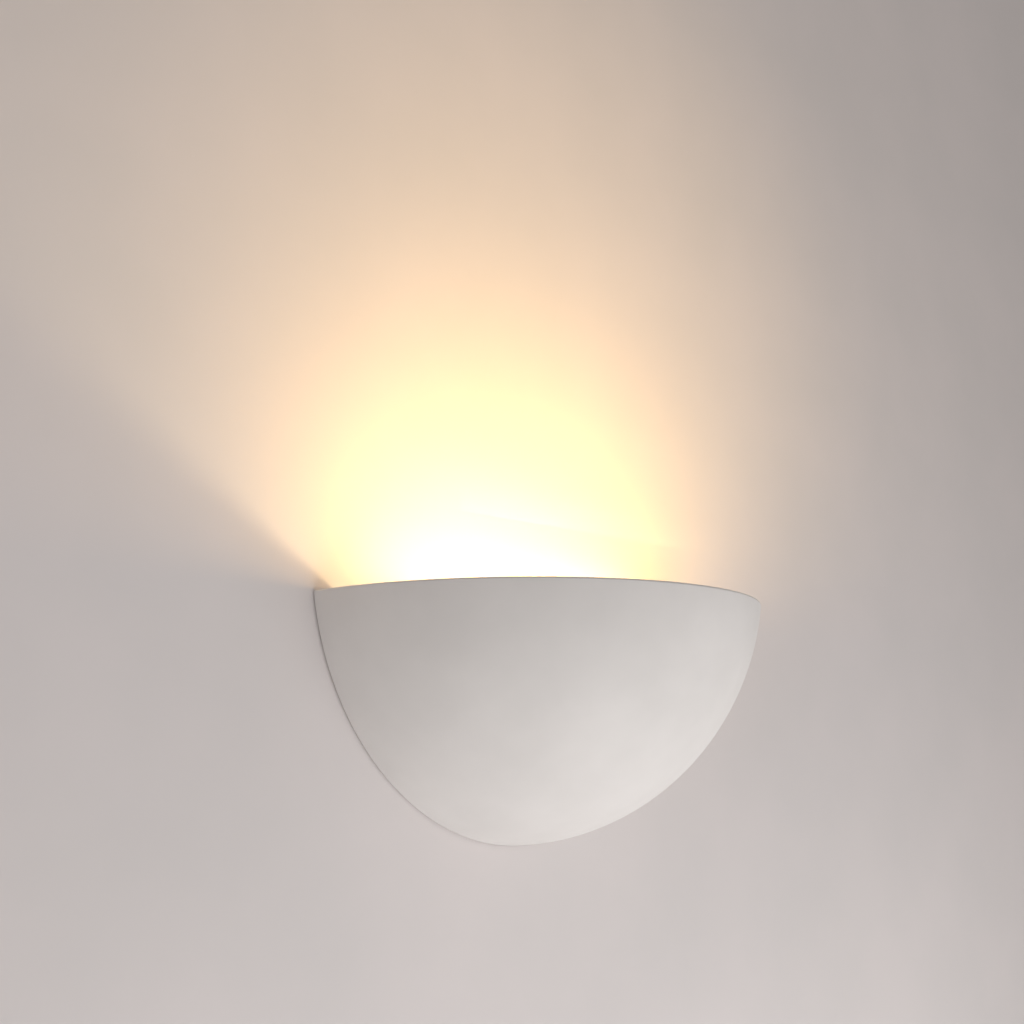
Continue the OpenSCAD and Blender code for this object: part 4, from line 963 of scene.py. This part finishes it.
# The back's light doesn't bounce, so the narrow gap behind the shade's edge stays dark.
back_soft = lamp_light("SUN", "back_fill", 1.0, (0.5, 2.0, 1.0), (0, 0, 0), angle=math.radians(60))
back_soft.data.cycles.max_bounces = 0

# The lamp's light on the wall: from the filament, from the lit inside of the bowl and its right
# end, and the wide haze above. It falls on the wall alone; a weaker one lights all but the wall.
filament_place = (filament_x / 1000, lamp_y / 1000, lamp_z / 1000)
filament_light = lamp_light("POINT", "filament_on_wall", 5.1, filament_place, shadow_soft_size=0.010,
                            color=(1.0, 0.76, 0.41))
glow_y, glow_z = -0.068, rim_z - 0.004
on_wall = [filament_light] + [
    lamp_light("AREA", name, energy, (x, glow_y, glow_z), (x, glow_y, 1.0), shape="ELLIPSE",
               size=length, size_y=0.12, color=colour)
    for name, energy, x, length, colour in (
        ("bowl_on_wall", 0.78, -0.01, 0.27, (1.0, 0.64, 0.28)),
        ("bowl_end_on_wall", 0.48, 0.045, 0.18, (1.0, 0.64, 0.24)))]
haze_x, haze_z = 0.07, 0.30
on_wall.append(lamp_light("SPOT", "haze_on_wall", 2.35, (haze_x, -0.6, haze_z), (haze_x, 0.0, haze_z),
                          spot_size=1.2, spot_blend=1.0, shadow_soft_size=0.05, color=(1.0, 0.64, 0.24)))
# A linear fall spreads the filament's light as wide as the glow is; a bare point's fades too soon.
filament_light.data.use_nodes = True
tree = filament_light.data.node_tree
fall = add(tree, "ShaderNodeLightFalloff", {"Strength": 1.0})
tree.links.new(fall.outputs["Linear"], tree.nodes["Emission"].inputs["Strength"])
wall_only = bpy.data.collections.new("wall_only")
wall_only.objects.link(wall)
for light in on_wall:
    light.light_linking.receiver_collection = wall_only
inside = lamp_light("POINT", "lamp_inside", 0.035, filament_place, shadow_soft_size=0.012,
                    color=(1.0, 0.86, 0.66))
for light in (*on_wall, inside):
    light.visible_camera = light.visible_glossy = light.visible_transmission = False
all_but_wall = bpy.data.collections.new("all_but_wall")
all_but_wall.objects.link(wall)
all_but_wall.collection_objects[0].light_linking.link_state = "EXCLUDE"
inside.light_linking.receiver_collection = all_but_wall

# The camera stands on the left, lower than the lamp, and looks up at the wall above the shade.
camera_data = bpy.data.cameras.new("photo_camera")
camera_data.sensor_width, camera_data.lens = 36.0, 49.22
camera = bpy.data.objects.new("photo_camera", camera_data)
bpy.context.scene.collection.objects.link(camera)
target, distance = Vector((-0.0008, 0.0, 0.1132)), 0.8798
turn, climb, roll = math.radians(-45.11), math.radians(-11.15), math.radians(-0.84)
back_way = Vector((math.sin(turn) * math.cos(climb), -math.cos(turn) * math.cos(climb), math.sin(climb)))
camera.location = target + distance * back_way
camera.rotation_euler = (-back_way).to_track_quat("-Z", "Y").to_euler()
camera.rotation_euler.rotate_axis("Z", roll)
bpy.context.scene.camera = camera
bpy.context.scene.view_settings.view_transform = "Standard"
